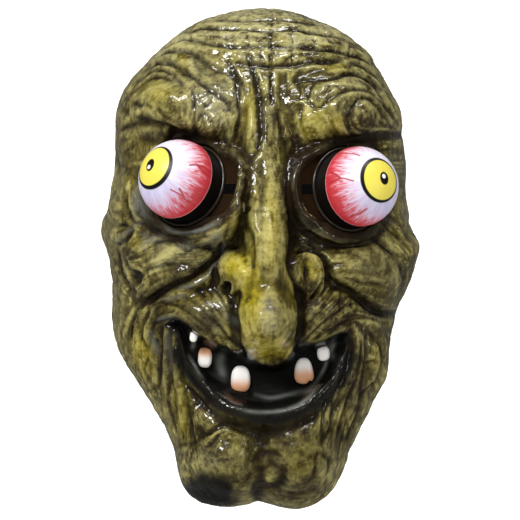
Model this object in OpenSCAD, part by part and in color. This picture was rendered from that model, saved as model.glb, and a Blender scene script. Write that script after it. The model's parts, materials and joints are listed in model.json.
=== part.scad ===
// Goblin face mask in thin latex with two eyeballs that pop out on flat coils, and an elastic head strap.
// Millimetres. +X is the viewer's right, -Y faces the viewer, +Z is up.
// The origin lies on the middle plane, at the height of the wearer's eyes, between the temples.

/* [Outline] */
// Height of the crown above the eye line
crown_z = 100.5; // [96:0.5:112]
// Drop of the chin below the eye line
chin_drop = 180.5; // [172:0.5:195]
// Half width at the temples
temple_half_w = 82.5; // [78:0.5:88]
// Half width at the cheekbones, the widest place
cheek_half_w = 91; // [88:0.5:98]
// Half width of the jaw, level with the mouth
jaw_half_w = 78; // [72:0.5:84]
// Half width of the chin
chin_half_w = 46; // [40:0.5:52]
// Thickness of the latex
skin_t = 2.2; // [1.6:0.1:3]

/* [Depth] */
// Distance of the face in front of the temples, before the features rise from it
face_depth = 88; // [80:1:98]
// Place of the rim at the sides, behind the temples
rim_side_y = 5; // [0:1:9]
// Distance of the rim at the crown in front of the temples
rim_crown_y = 28; // [22:1:36]
// Distance of the rim under the chin in front of the temples
rim_chin_y = 40; // [32:1:48]
// Length of the straight roll at the rim
rim_roll = 6; // [4:0.5:8]

/* [Face] */
// Rise of the two brows
brow_rise = 17; // [10:0.5:19]
// Rise of the nose bridge
bridge_rise = 15; // [10:0.5:20]
// Rise of the bulb of the nose
nose_rise = 42; // [32:0.5:48]
// Rise of the nostril wings
wing_rise = 12; // [8:0.5:16]
// Rise of the cheeks
cheek_rise = 15; // [8:0.5:20]
// Rise of the two lobes of the upper lip
lip_rise = 12; // [8:0.5:16]
// Depth of the mouth
mouth_depth = 16; // [10:0.5:18]
// Depth of the deepest folds in the skin
fold_depth = 4; // [2:0.2:4.6]
// Rise of the lower lip
lower_lip_rise = 9; // [5:0.5:14]
// Rise of the two lobes of the chin
chin_rise = 15; // [8:0.5:20]

/* [Eyes] */
// Diameter of an eyeball
eye_d = 44; // [40:0.5:46]
// Wall of an eyeball's half shell
eye_wall = 1.2; // [0.8:0.1:2]
// Distance between the two eyeball centres
eye_spacing = 98.6; // [96:0.2:104]
// Distance of the eyeball centres in front of the temples
eye_front = 91; // [88:0.5:94]
// Height of the left eyeball centre above the eye line
eye_left_z = 2.5; // [1:0.5:5]
// Height of the right eyeball centre above the eye line
eye_right_z = -1; // [-3:0.5:1.5]
// Angle by which the left eye looks outwards
eye_left_yaw = 37; // [33:0.5:40]
// Angle by which the right eye looks outwards
eye_right_yaw = 30; // [28:0.5:35]
// Angle by which the left eye looks up
eye_left_pitch = 17; // [12:0.5:20]
// Angle by which the right eye looks up
eye_right_pitch = 7; // [4:0.5:12]
// Height of a closed coil
coil_h = 11.5; // [9:0.5:13]
// Width of the coil's flat strip
coil_strip = 4.2; // [3:0.1:6]

/* [Eye mounts] */
// Thickness of a mount plate
plate_t = 2.4; // [1.8:0.1:3]
// Width of the collar round the coil's foot
collar_w = 1.4; // [1:0.1:2]
// Height of the collar
collar_h = 1.8; // [1.2:0.1:2.4]
// Height of the hub inside the coil's foot
hub_h = 3; // [2:0.1:4]
// Diameter of the rivet that holds the hub
hub_rivet_d = 4; // [3:0.1:5]
// Reach of the socket hole towards the nose, past the collar
socket_reach = 9; // [7:0.5:11]
// Width of a sight slot
slot_w = 9.5; // [8:0.5:11]
// Height of a sight slot
slot_h = 5.6; // [5:0.1:7]
// Distance of a slot's middle from the middle plane
slot_x = 22.5; // [21:0.5:24]
// Height of a slot's middle above the eye line
slot_z = -2.5; // [-4:0.5:0]

/* [Strap] */
// Width of the elastic
strap_w = 20; // [15:1:25]
// Thickness of the elastic
strap_t = 1.6; // [1.2:0.1:2.2]
// Distance of the strap's back from the temples
strap_back_y = 125; // [110:1:140]
// Radius of the strap's two bends behind the head
strap_bend_r = 45; // [30:1:55]
// Distance of the strap rivets in front of the temples
strap_rivet_y = 10; // [8:0.5:13]
// Diameter of a strap rivet's shank
strap_rivet_d = 4; // [3:0.1:5]
// Diameter of a strap rivet's head and of its washer
rivet_head_d = 10; // [8:0.5:12]
// Diameter of the rubber patch under the strap's end
patch_d = 24; // [20:0.5:26]
// Thickness of the patch
patch_t = 3.4; // [2.8:0.1:4]

/* [Hidden] */
$fn = 64;
LEFT = -1;
RIGHT = 1;
EYES = [LEFT, RIGHT];

// Clearances
eye_gap = 0.3;      // eyeball or coil to what stands round it
bore_gap = 0.1;     // rivet shank to its bore
strap_gap = 0.2;    // strap to the patch and the washer beside it
socket_gap = 1;     // collar to the edge of the socket
bond = 0.6;         // depth by which glued pieces press into the latex

// ---- Eye frames: each eye has its centre, its line of sight and its foot, where the coil stands ----
eye_r = eye_d / 2;
coil_r = eye_r - eye_gap;
collar_r = eye_r + collar_w;
socket_r = collar_r + socket_gap;
hub_r = coil_r - coil_strip - eye_gap;
function eye_yaw(side) = side == LEFT ? eye_left_yaw : eye_right_yaw;
function eye_pitch(side) = side == LEFT ? eye_left_pitch : eye_right_pitch;
function eye_centre(side) =
    [side * eye_spacing / 2, -eye_front, side == LEFT ? eye_left_z : eye_right_z];
function eye_axis(side) = let (p = eye_pitch(side), w = eye_yaw(side))
    [side * sin(w) * cos(p), -cos(w) * cos(p), sin(p)];
function eye_foot(side) = eye_centre(side) - coil_h * eye_axis(side);
function nasal(side) = [-side * cos(eye_yaw(side)), -sin(eye_yaw(side)), 0];

// ---- Outline: radius of the silhouette at each angle round the middle of the face ----
mid_z = (crown_z - chin_drop) / 2 - 2;
outline_left = [
    [0, 4 - chin_drop], [0.26 * chin_half_w, 2 - chin_drop], [0.58 * chin_half_w, 1 - chin_drop],
    [0.87 * chin_half_w, 6 - chin_drop], [chin_half_w + 2, 18 - chin_drop],
    [chin_half_w + 4.5, 32 - chin_drop], [chin_half_w + 9.5, 45.5 - chin_drop],
    [chin_half_w + 17, 58 - chin_drop], [jaw_half_w - 6, -109], [jaw_half_w + 3, -95],
    [jaw_half_w + 7, -81], [jaw_half_w + 7.5, -60], [cheek_half_w - 3.5, -40], [cheek_half_w + 0.5, -26],
    [cheek_half_w, -19], [temple_half_w + 2.5, -12], [temple_half_w + 1, -5], [temple_half_w + 0.5, 15],
    [temple_half_w + 1.5, 28], [temple_half_w + 1, crown_z - 58], [0.95 * temple_half_w, crown_z - 44],
    [0.9 * temple_half_w, crown_z - 37], [0.83 * temple_half_w, crown_z - 31],
    [0.74 * temple_half_w, crown_z - 24.5], [0.54 * temple_half_w, crown_z - 12],
    [0.42 * temple_half_w, crown_z - 6], [0.23 * temple_half_w, crown_z - 1.8], [0, crown_z]];
outline_right = [
    [0, 2.5 - chin_drop], [0.24 * chin_half_w, -chin_drop - 0.5], [0.44 * chin_half_w, -chin_drop - 1.5],
    [0.59 * chin_half_w, -chin_drop], [0.86 * chin_half_w, 11 - chin_drop],
    [chin_half_w - 2.5, 18 - chin_drop], [chin_half_w + 3.5, 32 - chin_drop],
    [chin_half_w + 10, 45.5 - chin_drop], [chin_half_w + 17, 58 - chin_drop], [jaw_half_w - 7, -109],
    [jaw_half_w - 4.5, -95], [jaw_half_w - 3, -81], [jaw_half_w + 1.5, -67], [cheek_half_w - 6, -53],
    [cheek_half_w - 1, -40], [cheek_half_w, -33], [cheek_half_w - 2, -26], [temple_half_w + 3.5, -19],
    [temple_half_w + 1, -5], [temple_half_w + 0.5, 15], [temple_half_w - 1, crown_z - 72],
    [0.93 * temple_half_w, crown_z - 57], [0.86 * temple_half_w, crown_z - 44],
    [0.79 * temple_half_w, crown_z - 31], [0.73 * temple_half_w, crown_z - 24.5],
    [0.52 * temple_half_w, crown_z - 12], [0.35 * temple_half_w, crown_z - 6],
    [0.21 * temple_half_w, crown_z - 1.8], [0, crown_z]];
function polar(list) = [for (p = list) [atan2(p[1] - mid_z, p[0]), norm([p[0], p[1] - mid_z])]];
polar_left = polar(outline_left);
polar_right = polar(outline_right);
function outline_r(angle) = abs(angle) <= 90 ? lookup(angle, polar_right)
    : lookup(angle > 0 ? 180 - angle : -180 - angle, polar_left);

// ---- Relief: soft round forms, each [x, z, half width, half height, rise] ----
forms = [
    [0, 62, 70, 44, 8], [45, 43, 40, 24, brow_rise], [-45, 43, 40, 24, brow_rise],
    [0, -5, 18, 62, bridge_rise], [-1, -54, 22, 46, 0.5 * nose_rise],
    [-1, -76, 20, 24, 0.45 * nose_rise], [-9, -80, 12, 19, 0.14 * nose_rise],
    [7, -80, 12, 19, 0.14 * nose_rise], [20, -49, 13, 15, 0.75 * wing_rise],
    [-19.5, -47, 12, 15, wing_rise], [-12, -52, 9, 14, 0.33 * wing_rise],
    [55, -46, 30, 22, cheek_rise], [-55, -44, 30, 22, cheek_rise],
    [36, -72, 28, 17, lip_rise - 1], [-36, -72, 28, 17, lip_rise],
    [-3, -102, 46, 22, -0.45 * mouth_depth], [-2, -128, 46, 14, 0.8 * lower_lip_rise],
    [18, -152, 28, 28, chin_rise - 1], [-24, -155, 28, 27, chin_rise]];
left_cheekbone = [-84, -6, 16, 16, 6];   // stands out before the temple and dies away towards the rim
function bell(f, p) = let (r = norm([(p[0] - f[0]) / f[2], (p[1] - f[1]) / f[3]]))
    r < 1 ? f[4] * pow(1 - pow(r, 2.6), 2) : 0;
function total(list, k = 0) = k == len(list) ? 0 : list[k] + total(list, k + 1);
function relief(p) = total([for (f = forms) bell(f, seen(p))])
    + bell(left_cheekbone, seen(p)) * ease(-12, -30, p[1]);

// Forms, folds and the mouth are placed as they are seen from in front, a little from the left, on a plane
// just before the face
view_distance = 1600;
view_plane = -95;
view_z = -41.2;
view_turn = 3;
function seen(p) = let (k = (view_distance + view_plane) / (view_distance + p[1]))
    [(p[0] - tan(view_turn) * p[1]) * k + tan(view_turn) * view_plane, (p[2] - view_z) * k + view_z];

// ---- Folds: each [share of the fold depth, half width, line]; a share below 0 is a furrow ----
folds = [
    // forehead
    [-0.4, 2.8, [[-40, 88], [-15, 89.5], [10, 89.5], [36, 84.5]]],
    [-0.5, 3, [[-60, 73], [-46, 79], [-20, 75], [0, 75], [27, 73.5], [56, 65]]],
    [-0.6, 3, [[-67, 65], [-54, 72.5], [-42, 71.5], [-31, 64], [-18, 58]]],
    [-0.65, 3, [[-75, 54.5], [-62, 65.3], [-50, 63.8], [-43, 58.8]]],
    [-0.6, 3, [[30, 57], [42, 60.5], [54, 57], [63, 46], [70, 33]]],
    [-0.5, 3, [[33, 45], [42, 51], [54, 51], [66, 38]]],
    // between the brows and under them
    [-0.7, 3, [[-7, 56], [-5, 40], [-6, 20], [-9, 10]]],
    [-0.6, 3, [[-18, 60], [-15.3, 46], [-18, 33]]],
    [0.6, 3, [[-13, 59], [-10.3, 40], [-11, 18]]],
    [-0.7, 3.2, [[-80, 30], [-66, 33.5], [-50, 29], [-37, 23], [-31, 19]]],
    [-0.7, 3.2, [[74, 27], [59, 27], [45, 24], [31, 19.5], [24, 16.5]]],
    // beside the nose and under the cheeks
    [-0.75, 3, [[-17, -60], [-19, -70], [-17, -86], [-15, -92]]],
    [-0.7, 3, [[12, -46], [17, -62], [17.8, -74], [15, -88]]],
    [-0.55, 3, [[11, -42], [14, -37.5], [20, -36], [26, -38.5], [31, -44], [30, -53]]],
    [-1, 3.4, [[-27, -31], [-33, -44], [-45, -53.5], [-63, -62], [-70, -67]]],
    [-1, 3.4, [[30, -45], [37, -55.5], [50, -63], [63, -70.5], [70, -70]]],
    [-0.5, 3, [[-83, -36], [-79, -51], [-70, -61]]],
    [-0.5, 3, [[56, -30], [67, -38], [74, -51], [69, -65]]],
    // lower lip, and the furrow below it
    [1, 4.6, [[-47, -92], [-42, -101], [-28, -116.5], [-10, -124.5], [0, -125.3], [21, -120],
        [36, -105], [41, -95]]],
    [-0.9, 3.8, [[-46, -106], [-31, -124], [-12, -134], [0, -135.5], [22, -128], [31, -119]]],
    // jaw and chin
    [-0.55, 3, [[-50, -76], [-48, -102], [-43.5, -126], [-39.5, -147]]],
    [-0.55, 3, [[-58.5, -78], [-58, -95], [-60.5, -111]]],
    [-0.5, 3, [[44.5, -80], [43, -97], [36, -113], [30, -121]]],
    [-0.5, 3, [[56, -82], [61.5, -99], [54, -115]]],
    [-0.6, 3.6, [[-4, -182], [-7.5, -162], [-7, -153]]],
    [-0.5, 3.2, [[21, -164], [26, -150], [30, -136]]]];
function gap_to(p, a, b) = let (d = b - a, t = min(1, max(0, (p - a) * d / (d * d)))) norm(p - a - t * d);
function line_gap(p, line) = min([for (k = [1:len(line) - 1]) gap_to(p, line[k - 1], line[k])]);
function fold(p) = fold_depth * total([for (f = folds) f[0] * exp(-pow(line_gap(p, f[2]) / f[1], 2))]);

// ---- Mouth: its upper and its lower edge; inside them the face is sunk ----
mouth_top = [[-60, -78], [-57, -77.5], [-49, -75.5], [-40, -82], [-28, -87.5], [-14, -90], [-9.5, -94.6],
    [0, -98.8], [10, -94], [14, -86.5], [25, -86.5], [36, -82.5], [44, -81], [47, -84]];
mouth_bottom = [[-60, -74], [-57, -76], [-50, -81], [-45, -95], [-40, -102], [-27, -115], [-10, -122.5],
    [0, -123.5], [19, -117.5], [33, -107], [40, -95], [44, -82], [47, -78]];
function inside_mouth(p) = min(lookup(p[0], mouth_top) - p[1], p[1] - lookup(p[0], mouth_bottom));

// ---- Skin: a grid folded over the face, its border on the rim ----
columns = 50;
rows = 62;
turn_end = 97;      // degrees from the front to the rim; past 90 the rim rolls straight back
fullness = 0.8;     // below 1 the face is fuller than an ellipsoid
function ease(from, to, v) = let (t = min(1, max(0, (v - from) / (to - from)))) t * t * (3 - 2 * t);
function unit(v) = v / norm(v);

// Depth of the plane through an eye's foot, square to its line of sight, and the distance from the foot
function foot_y(side, x, z) = let (f = eye_foot(side), a = eye_axis(side))
    f[1] - (a[0] * (x - f[0]) + a[2] * (z - f[2])) / a[1];
function foot_r(side, x, z) = norm([x, foot_y(side, x, z), z] - eye_foot(side));
function socket_edge(side, x, z) =
    let (d = [x, foot_y(side, x, z), z] - eye_foot(side), along = d * nasal(side) / max(norm(d), 0.01))
    socket_r + socket_reach * ease(0.6, 1, along);

// Distance of a point from an eye's line of sight
function sight_r(side, p) = let (d = p - eye_foot(side), a = eye_axis(side)) norm(d - (d * a) * a);

// A grid point that falls in a socket moves out to the socket's edge
function out_of_socket(side, p) =
    let (f = eye_foot(side), r = foot_r(side, p[0], p[1]), e = socket_edge(side, p[0], p[1]))
    r < e ? [f[0] + (p[0] - f[0]) * e / max(r, 0.01), f[2] + (p[1] - f[2]) * e / max(r, 0.01)] : p;
function in_socket(side, p) = foot_r(side, p[0], p[1]) < socket_edge(side, p[0], p[1]) - 0.01;

// Grid position to turn angle and bearing: a square laid on a disc, its cells smaller in the middle
function chart(i, j) = let (a = 2 * i / columns - 1, b = 2 * j / rows - 1,
    u = a * sqrt(1 - b * b / 2), v = b * sqrt(1 - a * a / 2), r = norm([u, v]))
    [r * (0.66 + 0.34 * r) * turn_end, r < 0.001 ? 0 : atan2(v, u)];
function flat_point(turn, bearing) = let (r = outline_r(bearing) * sin(turn))
    [r * cos(bearing), mid_z + r * sin(bearing)];
function rim_y(bearing) = rim_side_y - (rim_side_y + (bearing > 0 ? rim_crown_y : rim_chin_y))
    * pow(sin(bearing), 2);
function lean(turn, bearing) =
    [sin(turn) * cos(bearing), -cos(turn), sin(turn) * sin(bearing)];

// The way the relief rises: straight forward on the front of the face, square to the face at its sides
function push(turn, bearing) = let (side = ease(40, 85, turn) * sin(turn))
    unit([side * cos(bearing), -max(0.15, cos(turn)), side * sin(bearing)]);

// The face itself, then the same with both sockets pressed in
function face_point(p, turn, bearing) = let (
    w = pow(max(0, cos(turn)), fullness),
    y = rim_y(bearing) * (1 - w) - face_depth * w + rim_roll * max(0, turn - 90) / (turn_end - 90),
    base = [p[0], y, p[1]],
    way = push(turn, bearing) * ease(1, 0.8, sin(min(turn, 90))),
    shaped = base + relief(base + relief(base) * way) * way)
    shaped + fold(seen(shaped)) * ease(96, 88, turn) * way
    + [0, 0.6 * mouth_depth * ease(-1, 6, inside_mouth(seen(shaped))), 0];
function pressed(side, p, flat) = let (
    near = min(foot_r(side, flat[0], flat[1]) - socket_edge(side, flat[0], flat[1]) + socket_r,
        sight_r(side, p)),
    w = 1 - ease(socket_r + 2, socket_r + 11, near),
    floor = [flat[0], foot_y(side, flat[0], flat[1]), flat[1]] + skin_t * eye_axis(side))
    p * (1 - w) + floor * w;

flats = [for (j = [0:rows]) [for (i = [0:columns])
    let (c = chart(i, j)) out_of_socket(LEFT, out_of_socket(RIGHT, flat_point(c[0], c[1])))]];
function turn_at(i, j) = let (c = chart(i, j), p = flats[j][i], q = [p[0], p[1] - mid_z],
    share = norm(q) < 0.001 ? 0 : norm(q) / outline_r(atan2(q[1], q[0])))
    c[0] > 80 ? c[0] : asin(min(1, share));
outer = [for (j = [0:rows]) [for (i = [0:columns])
    let (p = flats[j][i], b = norm([p[0], p[1] - mid_z]) < 0.001 ? 0 : atan2(p[1] - mid_z, p[0]))
    pressed(LEFT, pressed(RIGHT, face_point(p, turn_at(i, j), b), p), p)]];
function away(i, j) = let (
    du = outer[j][min(columns, i + 1)] - outer[j][max(0, i - 1)],
    dv = outer[min(rows, j + 1)][i] - outer[max(0, j - 1)][i],
    c = chart(i, j)) unit((1 - ease(80, 92, c[0])) * unit(cross(du, dv)) + 0.5 * lean(c[0], c[1]));
inner = [for (j = [0:rows]) [for (i = [0:columns]) outer[j][i] - skin_t * away(i, j)]];

holes = [for (j = [0:rows]) [for (i = [0:columns])
    let (c = chart(i, j), p = flat_point(c[0], c[1])) in_socket(LEFT, p) || in_socket(RIGHT, p)]];
function kept(i, j) = i >= 0 && j >= 0 && i < columns && j < rows
    && !(holes[j][i] && holes[j][i + 1] && holes[j + 1][i] && holes[j + 1][i + 1]);

module mask_skin() {
    count = (columns + 1) * (rows + 1);
    function at(i, j, layer) = layer * count + j * (columns + 1) + i;
    function wall(i0, j0, i1, j1) = [[at(i0, j0, 0), at(i1, j1, 0), at(i1, j1, 1)],
        [at(i0, j0, 0), at(i1, j1, 1), at(i0, j0, 1)]];
    // The diagonal of a cell runs away from the middle plane on both sides
    function halves(p, q, r, s, turned) = turned ? [[p, s, q], [q, s, r]] : [[p, r, q], [p, s, r]];
    function cell(i, j, layer) = halves(at(i, j, layer), at(i + 1, j, layer), at(i + 1, j + 1, layer),
        at(i, j + 1, layer), (i < columns / 2) == (j < rows / 2));
    function flipped(list) = [for (f = list) [f[0], f[2], f[1]]];
    faces = [for (j = [0:rows - 1]) for (i = [0:columns - 1]) if (kept(i, j)) each concat(
        cell(i, j, 0), flipped(cell(i, j, 1)),
        kept(i, j - 1) ? [] : wall(i, j, i + 1, j),
        kept(i + 1, j) ? [] : wall(i + 1, j, i + 1, j + 1),
        kept(i, j + 1) ? [] : wall(i + 1, j + 1, i, j + 1),
        kept(i - 1, j) ? [] : wall(i, j + 1, i, j))];
    color("darkolivegreen")
        polyhedron(points = [each for (row = outer) row, each for (row = inner) row], faces = faces);
}

// ---- Teeth: [x, z, width, height, lean], a row along the lower edge of the mouth ----
teeth = [[-41.5, -82, 5, 8, 12], [-36, -94.5, 8, 11.5, 5], [-16, -105.5, 11, 15, 2],
    [19, -101, 10.5, 15, -3], [29.5, -91.5, 7.5, 8.5, -6]];
tooth_depth = 7;        // front to back
tooth_root = 4;         // how far a tooth's back lies inside the mouth's floor
function mouth_y(x, z) = let (q = [x, z - mid_z], b = atan2(q[1], q[0]))
    face_point([x, z], asin(min(1, norm(q) / outline_r(b))), b)[1];

module tooth(k) {
    t = teeth[k];
    r = 0.2 * t[2];
    color("ivory")
        translate([t[0], mouth_y(t[0], t[1]) + tooth_root - tooth_depth, t[1]])
            rotate([0, t[4], 0])
                hull() {
                    for (sx = [-1, 1], sy = [0, 1])
                        translate([sx * (t[2] / 2 - r), sy * (tooth_depth - 2 * r) + r, -t[3] / 2 + r])
                            sphere(r, $fn = 16);
                    for (sx = [-1, 1], sy = [0, 1])
                        translate([sx * (t[2] / 2 - 1.3 * r), sy * (tooth_depth - 2 * r) + r, t[3] / 2 - r])
                            sphere(r, $fn = 16);
                }
}

// ---- Eyes: local +Z runs along the line of sight, the origin is the eyeball's centre ----
module at_eye(side) {
    translate(eye_centre(side))
        rotate([90 - eye_pitch(side), 0, side * eye_yaw(side)])
            children();
}

module ring(inner_r, outer_r, height) {
    rotate_extrude()
        translate([inner_r, 0])
            square([outer_r - inner_r, height]);
}

// Plate behind the socket, with the collar, the rivet's bore and the slot that the wearer sees through
module eye_mount(side) {
    plate_r = socket_r + 4;
    lobe_r = 15;
    color([0.16, 0.1, 0.07])
        difference() {
            at_eye(side)
                translate([0, 0, -coil_h - plate_t]) {
                    cylinder(r = plate_r, h = plate_t);
                    translate([-side * (socket_r + socket_reach + 3 - lobe_r), 0, 0])
                        cylinder(r = lobe_r, h = plate_t);
                    translate([0, 0, plate_t])
                        ring(eye_r, collar_r, collar_h);
                }
            at_eye(side)
                translate([0, 0, -coil_h - plate_t - 1])
                    cylinder(d = hub_rivet_d + 2 * bore_gap, h = plate_t + 2);
            translate([side * slot_x - slot_w / 2, -eye_front - eye_d / 2, slot_z - slot_h / 2])
                cube([slot_w, eye_d, slot_h]);
        }
}

module coil_hub(side) {
    color([0.12, 0.12, 0.12])
        at_eye(side)
            translate([0, 0, -coil_h])
                ring(hub_rivet_d / 2 + bore_gap, hub_r, hub_h);
}

// Head on the hub, shank through hub and plate, tail spread behind the plate
module hub_rivet(side) {
    head_t = 1.4;
    color("dimgray")
        at_eye(side) {
            translate([0, 0, -coil_h + hub_h])
                cylinder(d = 2.2 * hub_rivet_d, h = head_t);
            translate([0, 0, -coil_h - plate_t])
                cylinder(d = hub_rivet_d, h = plate_t + hub_h);
            translate([0, 0, -coil_h - plate_t - head_t])
                cylinder(d = 1.8 * hub_rivet_d, h = head_t);
        }
}

// The closed stack of flat turns
module eye_coil(side) {
    color([0.1, 0.09, 0.08])
        at_eye(side)
            translate([0, 0, -coil_h])
                ring(coil_r - coil_strip, coil_r, coil_h);
}

module eyeball(side) {
    color("white")
        at_eye(side)
            rotate_extrude()
                difference() {
                    circle(eye_r);
                    circle(eye_r - eye_wall);
                    translate([-eye_d, -eye_d])
                        square([eye_d, 2 * eye_d]);
                    translate([-eye_d, -eye_d])
                        square([2 * eye_d, eye_d]);
                }
}

// Disc that closes the half shell, with a plug that holds the coil's first turn
module eyeball_back(side) {
    disc_t = 1.5;
    plug_h = 2;
    disc_r = sqrt(pow(eye_r - eye_wall, 2) - disc_t * disc_t);
    color([0.1, 0.1, 0.1])
        at_eye(side) {
            cylinder(r = disc_r, h = disc_t);
            translate([0, 0, -plug_h])
                cylinder(r = hub_r, h = plug_h);
        }
}

// ---- Strap: two straight sides, two bends and a straight back, turning on a rivet at each temple ----
skin_x = outline_r(atan2(-mid_z, temple_half_w)) * cos(atan2(-mid_z, temple_half_w)) - skin_t;
patch_in = skin_x + bond - patch_t;         // inner face of the patch
strap_out = patch_in - strap_gap;           // outer face of the strap's sides
washer_t = 0.8;
washer_out = strap_out - strap_t - strap_gap;
rivet_head_t = 1.6;

module strap_end(side) {
    translate([side * strap_out, -strap_rivet_y, 0])
        rotate([0, -side * 90, 0])
            cylinder(d = strap_w, h = strap_t);
}

module head_strap() {
    bend_y = strap_back_y - strap_bend_r;
    color([0.07, 0.07, 0.07])
        difference() {
            union() {
                for (side = EYES) {
                    strap_end(side);
                    translate([side > 0 ? strap_out - strap_t : -strap_out, -strap_rivet_y, -strap_w / 2])
                        cube([strap_t, bend_y + strap_rivet_y, strap_w]);
                    translate([side * (strap_out - strap_bend_r), bend_y, -strap_w / 2])
                        rotate([0, 0, side > 0 ? 0 : 90])
                            rotate_extrude(angle = 90)
                                translate([strap_bend_r - strap_t, 0])
                                    square([strap_t, strap_w]);
                }
                translate([strap_bend_r - strap_out, strap_back_y - strap_t, -strap_w / 2])
                    cube([2 * (strap_out - strap_bend_r), strap_t, strap_w]);
            }
            translate([-strap_out - 1, -strap_rivet_y, 0])
                rotate([0, 90, 0])
                    cylinder(d = strap_rivet_d + 2 * bore_gap, h = 2 * strap_out + 2);
        }
}

module strap_patch(side) {
    color("saddlebrown")
        translate([side * patch_in, -strap_rivet_y, 0])
            rotate([0, side * 90, 0])
                difference() {
                    cylinder(d = patch_d, h = patch_t);
                    translate([0, 0, -1])
                        cylinder(d = strap_rivet_d, h = patch_t);
                }
}

module strap_washer(side) {
    color("silver")
        translate([side * washer_out, -strap_rivet_y, 0])
            rotate([0, -side * 90, 0])
                ring(strap_rivet_d / 2, rivet_head_d / 2, washer_t);
}

// The shank ends 1 mm short of the patch's outer face
module strap_rivet(side) {
    shank = patch_in + patch_t - 1 - (washer_out - washer_t);
    color("silver")
        translate([side * (washer_out - washer_t), -strap_rivet_y, 0])
            rotate([0, -side * 90, 0]) {
                cylinder(d = rivet_head_d, h = rivet_head_t);
                translate([0, 0, -shank])
                    cylinder(d = strap_rivet_d, h = shank);
            }
}

mask_skin();
for (k = [0:len(teeth) - 1])
    tooth(k);
eye_mount(LEFT);  // eye_mount_left
eye_mount(RIGHT);  // eye_mount_right
coil_hub(LEFT);  // coil_hub_left
coil_hub(RIGHT);  // coil_hub_right
hub_rivet(LEFT);  // hub_rivet_left
hub_rivet(RIGHT);  // hub_rivet_right
eye_coil(LEFT);  // eye_coil_left
eye_coil(RIGHT);  // eye_coil_right
eyeball(LEFT);  // eyeball_left
eyeball(RIGHT);  // eyeball_right
eyeball_back(LEFT);  // eyeball_back_left
eyeball_back(RIGHT);  // eyeball_back_right
strap_patch(LEFT);  // strap_patch_left
strap_patch(RIGHT);  // strap_patch_right
strap_rivet(LEFT);  // strap_rivet_left
strap_rivet(RIGHT);  // strap_rivet_right
strap_washer(LEFT);  // strap_washer_left
strap_washer(RIGHT);  // strap_washer_right
head_strap();
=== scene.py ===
import json

import bpy
import mathutils
import numpy as np
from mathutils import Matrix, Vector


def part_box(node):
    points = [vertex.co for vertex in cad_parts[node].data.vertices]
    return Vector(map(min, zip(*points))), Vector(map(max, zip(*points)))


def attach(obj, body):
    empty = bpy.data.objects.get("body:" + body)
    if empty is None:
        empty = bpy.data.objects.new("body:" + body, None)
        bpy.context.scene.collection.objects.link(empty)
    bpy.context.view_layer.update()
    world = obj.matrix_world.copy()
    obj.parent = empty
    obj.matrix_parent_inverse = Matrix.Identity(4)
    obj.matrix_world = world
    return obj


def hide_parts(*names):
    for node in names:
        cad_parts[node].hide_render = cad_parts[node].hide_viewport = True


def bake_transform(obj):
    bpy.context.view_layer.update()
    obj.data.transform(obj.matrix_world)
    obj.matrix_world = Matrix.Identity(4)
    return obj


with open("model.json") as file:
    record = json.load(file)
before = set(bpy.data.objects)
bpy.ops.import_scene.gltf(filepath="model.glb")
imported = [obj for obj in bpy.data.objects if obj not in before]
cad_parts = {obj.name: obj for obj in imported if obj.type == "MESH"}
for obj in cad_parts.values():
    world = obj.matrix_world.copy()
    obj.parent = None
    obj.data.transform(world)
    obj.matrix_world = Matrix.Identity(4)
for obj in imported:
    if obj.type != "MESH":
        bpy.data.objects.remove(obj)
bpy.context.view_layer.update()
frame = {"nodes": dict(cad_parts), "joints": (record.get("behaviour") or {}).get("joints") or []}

# Goblin mask: painted latex face, five teeth, two eyeballs on flat coils, elastic at the back.
# Shapes are worked out in millimetres and written in metres. +X right, -Y forward, +Z up.

mm = 0.001
joints = {j["name"]: j for j in frame["joints"]}
# Where the front view is taken from, in mm and degrees: distance, turn towards -X and height. Places on the face are
# given as they look from there on an upright plane in front of the temples, x 0 being the middle of the face.
viewer = {"far": 1600, "turn": 3.0, "slope": 0.0524, "up": -41.2, "wide": 301.6, "plane": 95, "shift": 4.98}


def ease(low, high, v):  # 0 below low, 1 above high, smooth between
    t = np.clip((v - low) / (high - low), 0, 1)
    return t * t * (3 - 2 * t)


def bell(q):  # exp(-q^2): 1 on the line, almost 0 at twice the half width
    return np.exp(-q * q)


def unit(v):  # v over its length
    return v / np.maximum(np.linalg.norm(v, axis=-1, keepdims=True), 1e-9)


def paint(code):  # sRGB hex to linear
    v = np.array([int(code[i:i + 2], 16) for i in (1, 3, 5)]) / 255
    return (*np.where(v <= 0.04045, v / 12.92, ((v + 0.055) / 1.055) ** 2.4), 1.0)


def addNode(tree, kind, inputs=None, **settings):  # one node with its settings, values and links
    made = tree.nodes.new(kind)
    for key, value in settings.items():
        setattr(made, key, value)
    for key, value in (inputs or {}).items():
        if isinstance(value, bpy.types.NodeSocket):
            tree.links.new(value, made.inputs[key])
        else:
            made.inputs[key].default_value = value
    return made


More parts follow.
